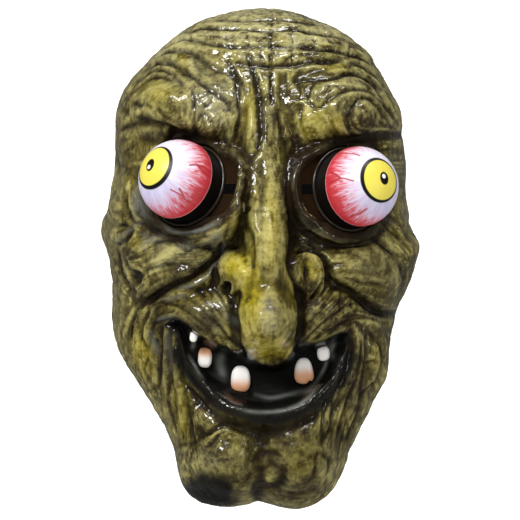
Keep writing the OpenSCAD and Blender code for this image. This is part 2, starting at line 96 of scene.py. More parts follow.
def makePiece(name, points, faces, body, material, shade=True, masks=None):
    # points are (n, 3) in mm, faces a list of index arrays, each (m, 3) or (m, 4)
    mesh = bpy.data.meshes.new(name)
    mesh.vertices.add(len(points))
    mesh.vertices.foreach_set("co", (points * mm).astype(np.float32).ravel())
    flat = np.concatenate([f.ravel() for f in faces]).astype(np.int32)
    sizes = np.concatenate([np.full(len(f), f.shape[1]) for f in faces])
    mesh.loops.add(len(flat))
    mesh.loops.foreach_set("vertex_index", flat)
    mesh.polygons.add(len(sizes))
    mesh.polygons.foreach_set("loop_start", np.concatenate([[0], np.cumsum(sizes)[:-1]]).astype(np.int32))
    mesh.update(calc_edges=True)
    mesh.validate()
    mesh.polygons.foreach_set("use_smooth", np.full(len(mesh.polygons), shade))
    for key, value in (masks or {}).items():
        layer = mesh.attributes.new(key, "FLOAT_COLOR", "POINT")
        rgba = np.ones((len(points), 4), np.float32)
        rgba[:, :3] = value
        layer.data.foreach_set("color", rgba.ravel())
    mesh.materials.append(material)
    piece = bpy.data.objects.new(name, mesh)
    bpy.context.scene.collection.objects.link(piece)
    if body:
        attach(piece, body)
    print("made", name, len(mesh.polygons), "faces")
    return piece


def gridFaces(rows, columns, wrap=False):
    # quads of a grid of points held row by row; wrap joins the last column to the first
    i, j = np.meshgrid(np.arange(columns if wrap else columns - 1), np.arange(rows - 1))
    a, b = j * columns + i, j * columns + (i + 1) % columns
    return np.stack([a, b, b + columns, a + columns], -1).reshape(-1, 4)


def latticeNoise(p, cell, seed):
    # random numbers on a lattice of that cell in mm, blended smoothly between its corners, -1 to 1
    q = p / cell + 512.37
    base = np.floor(q).astype(np.int64)
    f = q - base
    f = f * f * (3 - 2 * f)
    total = 0
    for corner in range(8):
        c = np.array([corner & 1, corner >> 1 & 1, corner >> 2 & 1])
        k = base + c
        n = k[..., 0] * 374761393 + k[..., 1] * 668265263 + k[..., 2] * 1274126177 + seed * 974634777
        n = (n ^ (n >> 13)) * 1103515245
        n = (n ^ (n >> 15)) & 0xFFFF
        total = total + (n / 32767.5 - 1) * np.prod(np.where(c, f, 1 - f), axis=-1)
    return total


def layeredNoise(p, cell, seed, layers=3):  # each layer half the cell and half the height of the last
    return sum(latticeNoise(p, cell / 2 ** k, seed + k) / 2 ** k for k in range(layers)) / 1.75


# Eyes: where each one stands, from the joint that pops it
eyePlan = {"radius": 22.0, "coilHeight": 11.5, "collar": 24.4, "towardsNose": 9.0, "skin": 2.2}
eyes = {}
for side, sign in (("left", -1), ("right", 1)):
    joint = joints["eye_pop_" + side]
    sight = unit(np.array(joint["axis"], float))
    foot = np.array(joint["deforming_nodes"][0]["fixed_end_m"]) / mm
    across = unit(np.array([-sight[1], sight[0], 0.0]))      # level, square to the line of sight, towards +X
    eyes[side] = {"sign": sign, "sight": sight, "foot": foot, "across": across,
                  "up": np.cross(sight, across), "centre": foot + eyePlan["coilHeight"] * sight,
                  "nasal": -sign * across}


def footPlane(eye, x, z):  # the point at x, z on the plane through the coil's foot, square to the line of sight
    a, f = eye["sight"], eye["foot"]
    y = f[1] - (a[0] * (x - f[0]) + a[2] * (z - f[2])) / a[1]
    return np.stack([x, y, z], -1)


def socketEdge(eye, d):  # the socket's radius in the direction d from the foot: round, and longer towards the nose
    along = (d @ eye["nasal"]) / np.maximum(np.linalg.norm(d, axis=-1), 0.01)
    return eyePlan["collar"] + eyePlan["towardsNose"] * ease(0.6, 1, along)


# The face
face = {
    "across": 264, "down": 372,      # cells of the outer surface
    "turnEnd": 97.0, "fullness": 0.8, "depth": 88.0, "midZ": -42.0,
    "rimSide": 5.0, "rimCrown": 28.0, "rimChin": 40.0, "rimRoll": 6.0, "wall": 2.2,
    # the rim from the crown clockwise, seen from the front
    "outline": [(0, 100.7), (17, 98.6), (29, 94.4), (43, 88.5), (52, 82.5), (60.2, 75.9), (65, 69.2),
                (68.2, 63.3), (71.4, 56.4), (73, 49.6), (75, 42.8), (81, 28.8), (82.6, 15), (82.5, 2),
                (83, -5), (84.5, -12), (86, -19), (88.8, -26), (91, -33), (90, -40.5), (85, -53.3),
                (79.5, -67.4), (75, -81.4), (73.5, -95.3), (71.2, -109), (62.8, -122.6), (56.3, -135),
                (49.5, -148.7), (43.5, -162.4), (39.6, -169.2), (33.6, -176), (27, -180.4), (20, -182),
                (11, -181), (3, -178.6), (-4.5, -176.8), (-12, -178.4), (-20, -179.4), (-27, -179.2),
                (-34, -177.4), (-40.2, -174.4), (-45.2, -168.6), (-47.8, -162.4), (-50.5, -148.7),
                (-55.5, -135), (-63.2, -122.6), (-72, -109), (-81, -95.3), (-85, -81.4), (-85.5, -67.4),
                (-85.5, -53.3), (-87.6, -40.5), (-89.6, -33.4), (-91.6, -26.3), (-91.4, -19), (-86.5, -12),
                (-84, -5), (-83.5, 2), (-83.2, 15), (-84, 28.8), (-83.4, 42.8), (-81.2, 49.6),
                (-78.2, 56.4), (-74, 63.3), (-68.2, 69.2), (-61.2, 75.9), (-53.2, 82.5), (-44.4, 88.5),
                (-34.5, 94.4), (-19, 98.8)],
    # soft round forms: x, z, half width, half height, rise
    "forms": [(0, 62, 70, 44, 8), (45, 43, 40, 24, 17), (-45, 43, 40, 24, 17), (0, -5, 18, 62, 15),
              (-1, -54, 22, 46, 21), (-1, -76, 20, 24, 19), (-9, -80, 12, 19, 6), (7, -80, 12, 19, 6),
              (55, -46, 30, 22, 15), (-55, -44, 30, 22, 15), (36, -72, 28, 17, 11), (-36, -72, 28, 17, 12),
              (20, -49, 13, 15, 9), (-19.5, -47, 12, 15, 12), (-12, -52, 9, 14, 4), (-2, -128, 46, 14, 7),
              (18, -152, 28, 28, 14), (-24, -155, 28, 27, 15), (-3, -102, 46, 22, -7), (-25, 28, 17, 16, 4),
              (22, 29, 15, 15, 4), (-12, 33, 7, 24, 3), (-11, -10, 9, 26, 3), (-10, -6, 7, 34, 4),
              (-38, 27, 12, 9, 3), (11, 42, 6, 20, 2.5), (-29, 26, 10, 9, 3), (33, 27, 11, 8, 3)],
    # stands out in front of the left temple and dies away towards the rim
    "cheekbone": (-84, -6, 16, 17, 6),
}

# Grooves and ridges: depth or height, half width, then the line they follow
grooves = [
    # folds of the left brow
    (0.9, 0.9, [(-45, 61.5), (-36, 53.7), (-26.5, 47), (-19.5, 44)]),
    (0.9, 0.9, [(-20.5, 65), (-15, 55.5), (-12.7, 49.7)]),
    (0.7, 0.8, [(-41, 46), (-42.8, 37), (-39, 30)]),
    # forehead, crown downwards
    (1.2, 1, [(-40, 88.5), (-30, 90), (-15, 89.5), (0, 90), (10, 89.5), (20, 88.3), (28, 87.5), (36, 84.5)]),
    (1.2, 1, [(-51, 79), (-45, 82.5), (-38, 85), (-28, 85.2), (-18, 84.8), (-5, 83.8), (6, 84.2), (14, 84.8)]),
    (1.4, 1, [(12, 84.8), (20, 83.6), (30, 82), (38, 80.5), (45, 77.5), (50, 74), (55, 69)]),
    (1.8, 1.2, [(-60, 73), (-52, 77.8), (-46, 79), (-38, 77.8), (-30, 76), (-20, 74.8), (-10, 75), (0, 75)]),
    (1.8, 1.2, [(-2, 75), (12, 75.2), (20, 74.5), (27, 73.5), (36, 73.3), (43, 71), (50, 69), (56, 65)]),
    (1.9, 1.4, [(-67, 65), (-60, 70.5), (-54, 72.5), (-47, 72.8), (-42, 71.5), (-37, 68), (-31, 64), (-24, 61),
                (-18, 58)]),
    (1.8, 1.3, [(-18, 66), (-8, 65), (0, 64.3), (8, 65), (15, 65.6), (22, 66.8), (30, 66.8), (36, 67.3), (41, 68.4)]),
    (2.1, 1.5, [(-75, 54.5), (-68, 62), (-62, 65.3), (-56, 65.3), (-50, 63.8), (-46, 61.5), (-43.3, 58.8)]),
    (1.4, 1.1, [(-79, 46), (-74, 53), (-69, 58), (-63, 61.5), (-57, 61.5), (-51, 58.5), (-47, 55)]),
    (1.1, 1, [(-74, 50), (-69, 54.5), (-64, 57.5), (-58, 58), (-52, 55.5)]),
    (1, 0.8, [(-83, 40), (-79, 46), (-74, 51)]),
    (1.9, 1.3, [(30, 57), (36, 58.7), (42, 60.5), (48, 60.3), (54, 57), (59, 52), (63, 46), (67, 39), (70, 33)]),
    (1.6, 1.2, [(43, 67.5), (50, 64.8), (56, 61), (60, 57.5), (64, 52), (67, 46), (70, 40)]),
    (1.8, 1.3, [(33, 45), (37, 49), (42, 51), (48, 52), (54, 51), (59, 47.5), (63, 43), (66, 38)]),
    (1.4, 1.2, [(46, 42), (49, 46.5), (53, 47.5), (57, 45), (60, 41), (62, 37)]),
    (1.3, 1.2, [(46, 43), (45, 38), (46, 33), (49, 30), (54, 29), (58, 31)]),
    (1.1, 1, [(56, 43), (58, 38), (58.5, 34), (61, 32)]),
    (1.3, 1, [(15, 55.5), (20, 57), (26, 57.5), (32, 58.5)]),
    (1.1, 0.9, [(30, 50), (33, 54), (38, 53.5), (41, 51)]),
    (1.1, 0.9, [(20, 46), (24, 43), (28, 42), (31, 45), (35, 50)]),
    (1.3, 1.1, [(25, 57), (22, 51), (21, 46)]),
    (0.9, 0.8, [(11, 46), (17, 47), (21, 48.5)]),
    (1, 0.9, [(14, 57), (17, 52), (18, 47)]),
    (1.4, 0.9, [(1.5, 93), (1, 75), (1, 60), (1.3, 45), (2, 30), (2, 18)]),
    (1, 0.8, [(13, 85), (12.5, 76), (12.5, 68), (11, 63)]),
    (0.9, 0.8, [(9.3, 62), (9, 52), (9.2, 42)]),
    (0.9, 0.8, [(25, 80), (24.5, 75)]),
    (0.9, 0.8, [(44, 77), (44, 71)]),
    (1, 0.8, [(-24, 82), (-23, 78), (-21.5, 75)]),
    (1, 0.8, [(-12.5, 82), (-11, 77), (-9, 74), (-5, 72)]),
    (1, 0.8, [(-43, 82), (-43, 78)]),
    (1, 0.9, [(-6, 75), (-4, 70), (-2, 66)]),
    (1, 0.8, [(32, 80), (34, 78), (40, 77)]),
    # between the brows
    (2.4, 1.5, [(-7, 58), (-5.4, 48), (-4.4, 38), (-4.2, 27), (-6, 20), (-9.5, 15)]),
    (2.2, 1.2, [(-19, 60), (-17.8, 55), (-16.5, 46), (-16, 37), (-18, 29), (-19.8, 21)]),
    (1.2, 0.9, [(-1, 46), (-1, 38), (-0.5, 28), (-2, 18)]),
    (1.8, 1, [(2, 61), (1.7, 49), (4, 40), (5.6, 32), (6, 25)]),
    (1, 0.8, [(-36, 40), (-31, 33), (-28, 25), (-26.5, 19)]),
    (0.8, 0.8, [(-26, 38), (-24.5, 31), (-23.5, 22)]),
    (0.8, 0.8, [(-12, 44), (-12.4, 34), (-13, 24)]),
    (1.1, 0.9, [(11, 45), (13.5, 36), (16, 27), (16.5, 19)]),
    (0.9, 0.8, [(16, 43), (20, 35), (24, 26), (26, 20)]),
    (0.9, 0.8, [(22, 44), (26, 36), (31, 27), (33, 22)]),
    (1.4, 1.6, [(-23, 68), (-21, 63), (-19, 58)]),
    (1.4, 1.6, [(-11.5, 73), (-10, 66), (-8, 60), (-6, 51)]),
    (1.6, 1.8, [(-39, 55.5), (-33, 53), (-27, 49), (-23, 45), (-20.5, 40)]),
    (1.2, 1, [(-42, 52), (-42, 46), (-40.5, 40), (-40.5, 32), (-39, 25)]),
    (1.1, 0.8, [(-39, 49), (-36.5, 47), (-34, 48.5), (-31.5, 46), (-33, 43)]),
    (1.1, 0.8, [(-39, 45), (-36, 46), (-35, 42.5), (-32, 44)]),
    (1, 0.8, [(-38, 51), (-35, 50), (-31, 50.5)]),
    (1, 0.8, [(-29, 43.5), (-26, 42), (-24, 40.5), (-21, 40.5)]),
    (1, 0.9, [(-37.5, 39), (-38.5, 34), (-37, 30)]),
    (1.1, 1.3, [(-75, 45), (-70, 43), (-66, 44), (-63, 41)]),
    (1.1, 1.3, [(-79, 41), (-76, 36), (-77, 31)]),
    (1, 1.1, [(-68, 40), (-70, 36), (-67, 34)]),
    (1, 1.1, [(28, 38), (31, 33), (35, 28), (37, 23)]),
    (1, 1, [(18, 44), (17, 36), (19, 28), (23, 22)]),
    (0.8, 0.9, [(23, 40), (24, 33), (28, 26)]),
    (1.3, 1.4, [(44, 42), (43, 35), (45, 28)]),
    # under the brows and beside the bridge
    (2.5, 2.2, [(-80, 30), (-73, 33), (-66, 33.5), (-58, 32), (-50, 28.5), (-43, 25.5), (-37, 21.5), (-32, 17)]),
    (2.3, 2.2, [(74, 27), (66, 27.5), (59, 27), (52, 25.5), (45, 24), (38, 21.5), (32, 18)]),
    (1.5, 1.2, [(-17, 10), (-13, 7), (-9, 2), (-7, -3)]),
    (1.5, 1.2, [(-20, 4), (-14, 3), (-10, -2), (-8, -7)]),
    (1.4, 1.2, [(13, 20), (15, 15), (13, 11), (11, 5), (10.5, -3), (11, -11)]),
    (1.4, 1.4, [(31, 17), (25, 14), (19, 12.5), (14, 13)]),
    # round the nose
    (1.4, 2.4, [(11.5, 0), (12, -10), (12.5, -20), (12, -30), (11, -40), (12, -50)]),
    (0.9, 1.4, [(-12, -22), (-9.5, -29), (-8.5, -38), (-9, -47)]),
    (1, 0.9, [(-13, -4), (-12, -8), (-14, -12), (-9, -14)]),
    (1, 0.9, [(-15, -8), (-11, -6), (-8, -10), (-12, -15)]),
    (3, 2.2, [(-17, -60), (-19, -68), (-18.5, -78), (-17, -86), (-15, -92)]),
    (2.8, 2.2, [(12, -46), (14.5, -54), (17, -62), (17.8, -72), (17, -82), (15, -88)]),
    (2.4, 1.7, [(-25, -34), (-28.5, -40), (-29, -47), (-27.5, -53)]),
    (2.2, 1.5, [(11, -42), (14, -37.5), (20, -36.2), (26, -38.5), (31, -44), (32, -51)]),
    (3.4, 1.5, [(28, -52), (25.3, -57), (22.6, -62)]),
    (1.5, 1.3, [(12, -36), (13, -30), (17, -26.5), (23, -27), (28, -31)]),
    (1, 1, [(16, -31), (17, -35), (15, -39)]),
    (1, 1, [(22, -31), (24, -35), (29, -36)]),
    (1.6, 1.3, [(19, -66), (24, -65), (29, -60), (31, -53)]),
    # left cheek
    (4.6, 2.2, [(-27, -37.5), (-31.5, -42), (-37, -48), (-45, -52.5), (-54, -56), (-63, -61.5), (-69.5, -65.5)]),
    (1.1, 2, [(-70, -47), (-62, -45), (-54, -43.5), (-46, -44), (-38, -46), (-33, -45)]),
    (0.9, 1.3, [(-34, -34), (-31, -36.5), (-28.5, -38)]),
    (0.8, 1.3, [(-74, -38), (-67, -36), (-62, -32.5), (-56, -30)]),
    (0.9, 1.3, [(-52, -31.5), (-48, -34.5), (-44, -36), (-40, -34)]),
    (1, 1.4, [(-83, -36), (-81.5, -44), (-79, -51), (-75, -57), (-70, -61)]),
    (0.8, 1.3, [(-76, -46), (-73, -49), (-70, -50), (-67, -48)]),
    (1.2, 1.6, [(-84, -24), (-79, -22), (-75, -24), (-78, -30), (-83, -33)]),
    (1, 1.4, [(-77, -4), (-78, -10), (-76, -16), (-73, -21), (-67, -21)]),
    (0.9, 1.4, [(-84, -3), (-87, -10), (-86, -17)]),
    (0.9, 1.3, [(-66, -21), (-62, -25), (-56, -28), (-46, -29.5), (-37, -29), (-29, -26), (-24, -20)]),
    (0.8, 1.1, [(-61, -20), (-56, -22.8), (-49, -23.6), (-42, -23), (-35, -20.6), (-30, -17)]),
    # right cheek
    (1.2, 1.8, [(56, -30), (62, -33), (67, -38), (71.5, -44), (74, -51), (73, -58), (69.5, -65)]),
    (4.4, 2.5, [(30, -45), (32, -51), (37, -55.5), (44, -58.5), (50, -63), (56, -68), (63, -70.5), (70, -70)]),
    (1, 1.3, [(31, -46), (35, -44.5), (40, -43)]),
    (1, 1.4, [(38, -51), (45, -52), (51, -54), (57, -54), (64, -55.5)]),
    (0.9, 1.4, [(60, -18), (64, -23), (68, -27), (73, -30)]),
    (0.8, 1.2, [(64, -15), (69, -19), (74, -25), (76, -31)]),
    (0.9, 1.4, [(57, -29), (62, -34), (68, -37), (74, -41)]),
    (0.8, 1.3, [(63, -39), (65, -43), (65, -48)]),
    (1, 1.4, [(78, -18), (76, -26), (79, -34), (80, -42), (77, -50)]),
    (0.8, 1.3, [(20, -25), (27, -28), (34, -32), (42, -33.5), (52, -33), (60, -30)]),
    # upper lip
    (0.7, 1.1, [(-60, -64), (-52, -65.5), (-44, -70), (-36, -77), (-29, -84)]),
    (0.55, 1, [(-50, -60), (-42, -64), (-34, -71), (-26, -79), (-19, -86)]),
    (0.5, 0.9, [(-42, -56), (-35, -61), (-28, -69), (-22, -77), (-17, -85)]),
    (0.6, 0.9, [(-33, -49), (-30, -56), (-25, -64), (-20, -73)]),
    (0.7, 0.9, [(-37, -53), (-32, -59), (-31, -63)]),
    (0.9, 1.2, [(62, -76), (54, -73), (46, -73.5), (38, -77), (29, -82), (19, -88)]),
    (0.55, 1, [(48, -64), (41, -67), (34, -72), (27, -78), (19, -84)]),
    (0.55, 0.9, [(41, -58), (36, -62), (30, -67), (24, -73), (19, -78)]),
    (0.6, 0.9, [(34, -55), (31, -61), (26, -66), (20, -72)]),
    (0.7, 0.9, [(45, -61), (44, -66), (46, -69)]),
    (0.7, 0.9, [(39, -60), (38, -65), (40, -69)]),
    # jaw, left
    (1.8, 1.3, [(-50, -76), (-49.5, -90), (-48, -102), (-45.5, -115), (-43.5, -126), (-41.5, -136), (-39.5, -147)]),
    (1.7, 1.3, [(-54.5, -76), (-53.5, -88), (-53.5, -100), (-54.5, -113)]),
    (1.8, 1.4, [(-58.5, -78), (-58, -88), (-58.5, -98), (-60.5, -111)]),
    (2, 1.4, [(-61, -72), (-64, -79), (-65.5, -88)]),
    (1.8, 1.4, [(-65, -69), (-69, -76), (-69.5, -83), (-66.5, -90)]),
    (1.3, 1.2, [(-72, -70), (-75, -76), (-75, -84)]),
    (1.1, 1.2, [(-66, -94), (-68, -101), (-65, -108)]),
    (1.4, 1.2, [(-47, -99), (-41, -107), (-35, -114), (-29, -121)]),
    (1.3, 1.1, [(-48, -106), (-42, -113), (-36, -119), (-31, -125)]),
    (1, 0.8, [(-49, -142), (-44, -141.5), (-39, -140)]),
    (1, 0.8, [(-44.5, -122), (-41, -120.5), (-37, -120.7), (-34, -123)]),
    (1, 0.8, [(-50, -110.5), (-46, -109.5)]),
    (1.4, 1.3, [(-37, -138), (-31, -135), (-26, -131.7), (-21, -131.5), (-16, -135)]),
    (1.3, 1.2, [(-35, -144), (-30, -140), (-27, -136)]),
    (1, 1.1, [(-56, -116), (-54, -125), (-51, -135)]),
    # jaw, right
    (1.6, 1.4, [(44.5, -80), (45, -88), (43, -97), (40, -106), (36, -113), (30, -121)]),
    (1.4, 1.3, [(48.5, -80), (49.5, -92), (48, -103), (44, -114), (40, -125), (37, -136)]),
    (1.4, 1.3, [(53, -80), (52.8, -95), (51, -106), (49.5, -118), (47, -130), (43, -139)]),
    (1.4, 1.4, [(56, -82), (60.5, -90), (61.5, -99), (59.5, -107), (54, -115)]),
    (1.2, 1.2, [(64, -80), (66, -90), (65, -100)]),
    (1, 1.1, [(34, -119), (33.5, -130), (31, -139)]),
    (1, 1.1, [(30, -122), (29, -132), (30, -141)]),
    (1, 1, [(58, -108), (53, -112), (50, -118)]),
    (1, 1, [(52, -98), (56, -96), (58, -98)]),
    # chin
    (2, 3, [(-4.5, -186), (-5, -178), (-6.5, -170), (-7.5, -164)]),
    (0.8, 2, [(-9, -153), (-5, -147), (2, -146), (7, -149)]),
    (0.7, 1.8, [(-6, -165), (2, -165), (8, -161), (8, -154)]),
    (1.3, 2.1, [(21, -164), (25, -158), (26, -150), (29, -143), (30, -136)]),
    (1, 1.5, [(-18, -161), (-14, -163), (-11, -158), (-13, -152)]),
    (0.9, 1.4, [(9, -168), (17, -168.5), (25, -165)]),
    (1, 1.4, [(28, -147), (33, -150), (33, -157)]),
    (1, 1.4, [(-1, -140), (-4, -143), (-3, -148)]),
]
ridges = [
    (1.3, 0.9, [(-46.5, -157), (-43, -160), (-42, -166)]),
    (2.4, 2.4, [(-13, 59), (-11.8, 50), (-10.3, 40), (-9.5, 30), (-11, 18)]),
    (1.4, 1.4, [(3.4, 60), (3.4, 45), (3.6, 30), (4, 18)]),
    (1.2, 0.9, [(-6.5, 48), (-3, 49), (1, 49.5)]),
    (1.6, 0.8, [(36.5, 41.3), (36.8, 44), (38.6, 46.8), (40.8, 48.2), (41.4, 46.8), (40.2, 44.3), (38, 41.6)]),
    (1.8, 2.6, [(37, 47), (36.5, 40), (39, 33), (43, 27)]),
    (1.4, 2.2, [(-43, 71), (-45, 67), (-43, 63), (-41, 58)]),
    (1.6, 1.6, [(-64, 60), (-58, 63.3), (-52, 61), (-48, 57)]),
    (2, 3.2, [(-66, -43), (-60, -39.5), (-53, -36), (-46, -32.5), (-37, -31)]),
    (1.6, 0.9, [(-25.6, -27.5), (-24.8, -34.4), (-29.5, -42.5), (-34.6, -49.8), (-43, -54.8), (-49.3, -56.5)]),
    (1.6, 1, [(-64, -70), (-61, -64.5), (-57, -61.5)]),
    (1.6, 1.1, [(-71, -62), (-70, -58), (-66, -56)]),
    (1.4, 1, [(-67, -57), (-66.5, -53), (-67, -49.5)]),
    (1.5, 1.1, [(-60, -22.5), (-55, -25.3), (-48, -26.3), (-41, -25.5), (-34, -22.8), (-28, -19)]),
    (1.3, 1, [(-57, -19.5), (-50, -21.5), (-43, -20.8)]),
    (1.4, 1.2, [(16, 6), (13.5, 0), (14, -8), (17, -15), (22, -22), (30, -27.5), (40, -30.5), (50, -30), (58, -26)]),
    (1.4, 1, [(-63, -75), (-58, -72.3), (-52, -71), (-49.5, -70.5), (-46, -73.5), (-40, -79), (-33, -83.5),
              (-28, -86)]),
    (2.2, 2, [(46, -78), (49, -84), (48, -94), (45, -104), (40, -113)]),
    (1.8, 2.2, [(57, -86), (58, -96), (56, -106)]),
    (1.8, 1.8, [(-56, -77), (-56, -90), (-56.5, -104)]),
    (1.6, 1.6, [(-51.8, -78), (-51.5, -92), (-50, -106), (-48, -120), (-47, -134)]),
    (1.6, 1.4, [(26.5, -64), (31, -58), (33, -53)]),
    (2.2, 2, [(14, -47), (16, -41), (21, -39.3), (26.3, -42), (28.5, -48), (25.5, -54.5), (20, -61)]),
    (1.2, 1.2, [(40, -118), (38, -128), (35, -138)]),
    (1.2, 1.2, [(-33, -112), (-28, -117.5), (-24, -121)]),
]

# Small domes and pits: x, z, half width, half height, rise
lumps = [(-58, 47, 15, 11, 2.6), (52, 39, 7, 9, 3.2), (1, -158, 5.5, 5.5, 2.6), (-19.5, -44, 7, 9, 1.5),
         (21, -49, 4, 6, -1.2), (-23.5, -56.5, 3.2, 4.4, -5), (-73, -51, 4.5, 6, -3.5), (-82, -27, 6, 6, 3),
         (80, -34, 7, 9, 2.5), (-85, -14, 6, 7, 2), (-62, -86, 3, 4, -2.5), (6, 78, 6, 3.6, 0.8),
         (-20, 70, 8, 4, 0.9), (7, 70, 5, 4, 0.9), (19, 79, 5, 4, 0.7), (30, 70, 9, 3, 1), (-52, 69, 8, 3, 1),
         (25, 32, 14, 11, 2), (-30, 32, 9, 9, 1.5), (-68, -34, 8, 6, 1.8), (-21, -162, 6, 5, -1.2),
         (-24, -146, 9, 6, 1.6), (16, -146, 8, 8, 1.8), (14, -160, 7, 5, 1.2), (-43, 65.5, 3, 5, 1),
         (-20, -30, 6, 5, 1.6)]

# The mouth: the edge of its opening, then the forms that stand up in it, as for the ridges
mouthEdge = [(-57, -76.5), (-52, -73), (-49, -73.5), (-45, -76), (-40, -80.5), (-33, -85), (-28, -87.5), (-21, -89.7),
             (-16.8, -91), (-14, -89), (-12.3, -91.2), (-9.5, -94.6), (-4.5, -98), (2, -99.1), (6.5, -98),
             (10.6, -95.2), (13.2, -91), (15, -87), (18, -86), (25, -86.5), (31, -85), (36, -82.5), (41, -80.5),
             (44, -81), (43, -87), (40, -95), (37, -102), (33, -107), (27, -112.5), (19, -117.5), (10, -121.5),
             (0, -123.5), (-10, -122.5), (-19, -119.5), (-27, -115), (-34, -108.5), (-40, -102), (-45, -95),
             (-48, -87), (-50.5, -80)]
mouthForms = {
    "gum": (3.4, 1.7, [(-30, -108), (-22, -113), (-12, -116), (0, -117.4), (12, -116.2), (22, -113.4), (29, -109),
                       (34, -103)]),
    "lip": (4.2, 4.6, [(-47, -92), (-42, -101), (-35, -109.5), (-28, -116.5), (-20, -121.5), (-10, -124.5),
                       (0, -125.3), (11, -124), (21, -120), (29, -113.5), (36, -105), (41, -95)]),
    "under": (3.6, 3.4, [(-46, -106), (-39, -115), (-31, -124), (-23, -130), (-12, -134), (0, -135.5), (12, -133.5),
                         (22, -128), (31, -119)]),
}

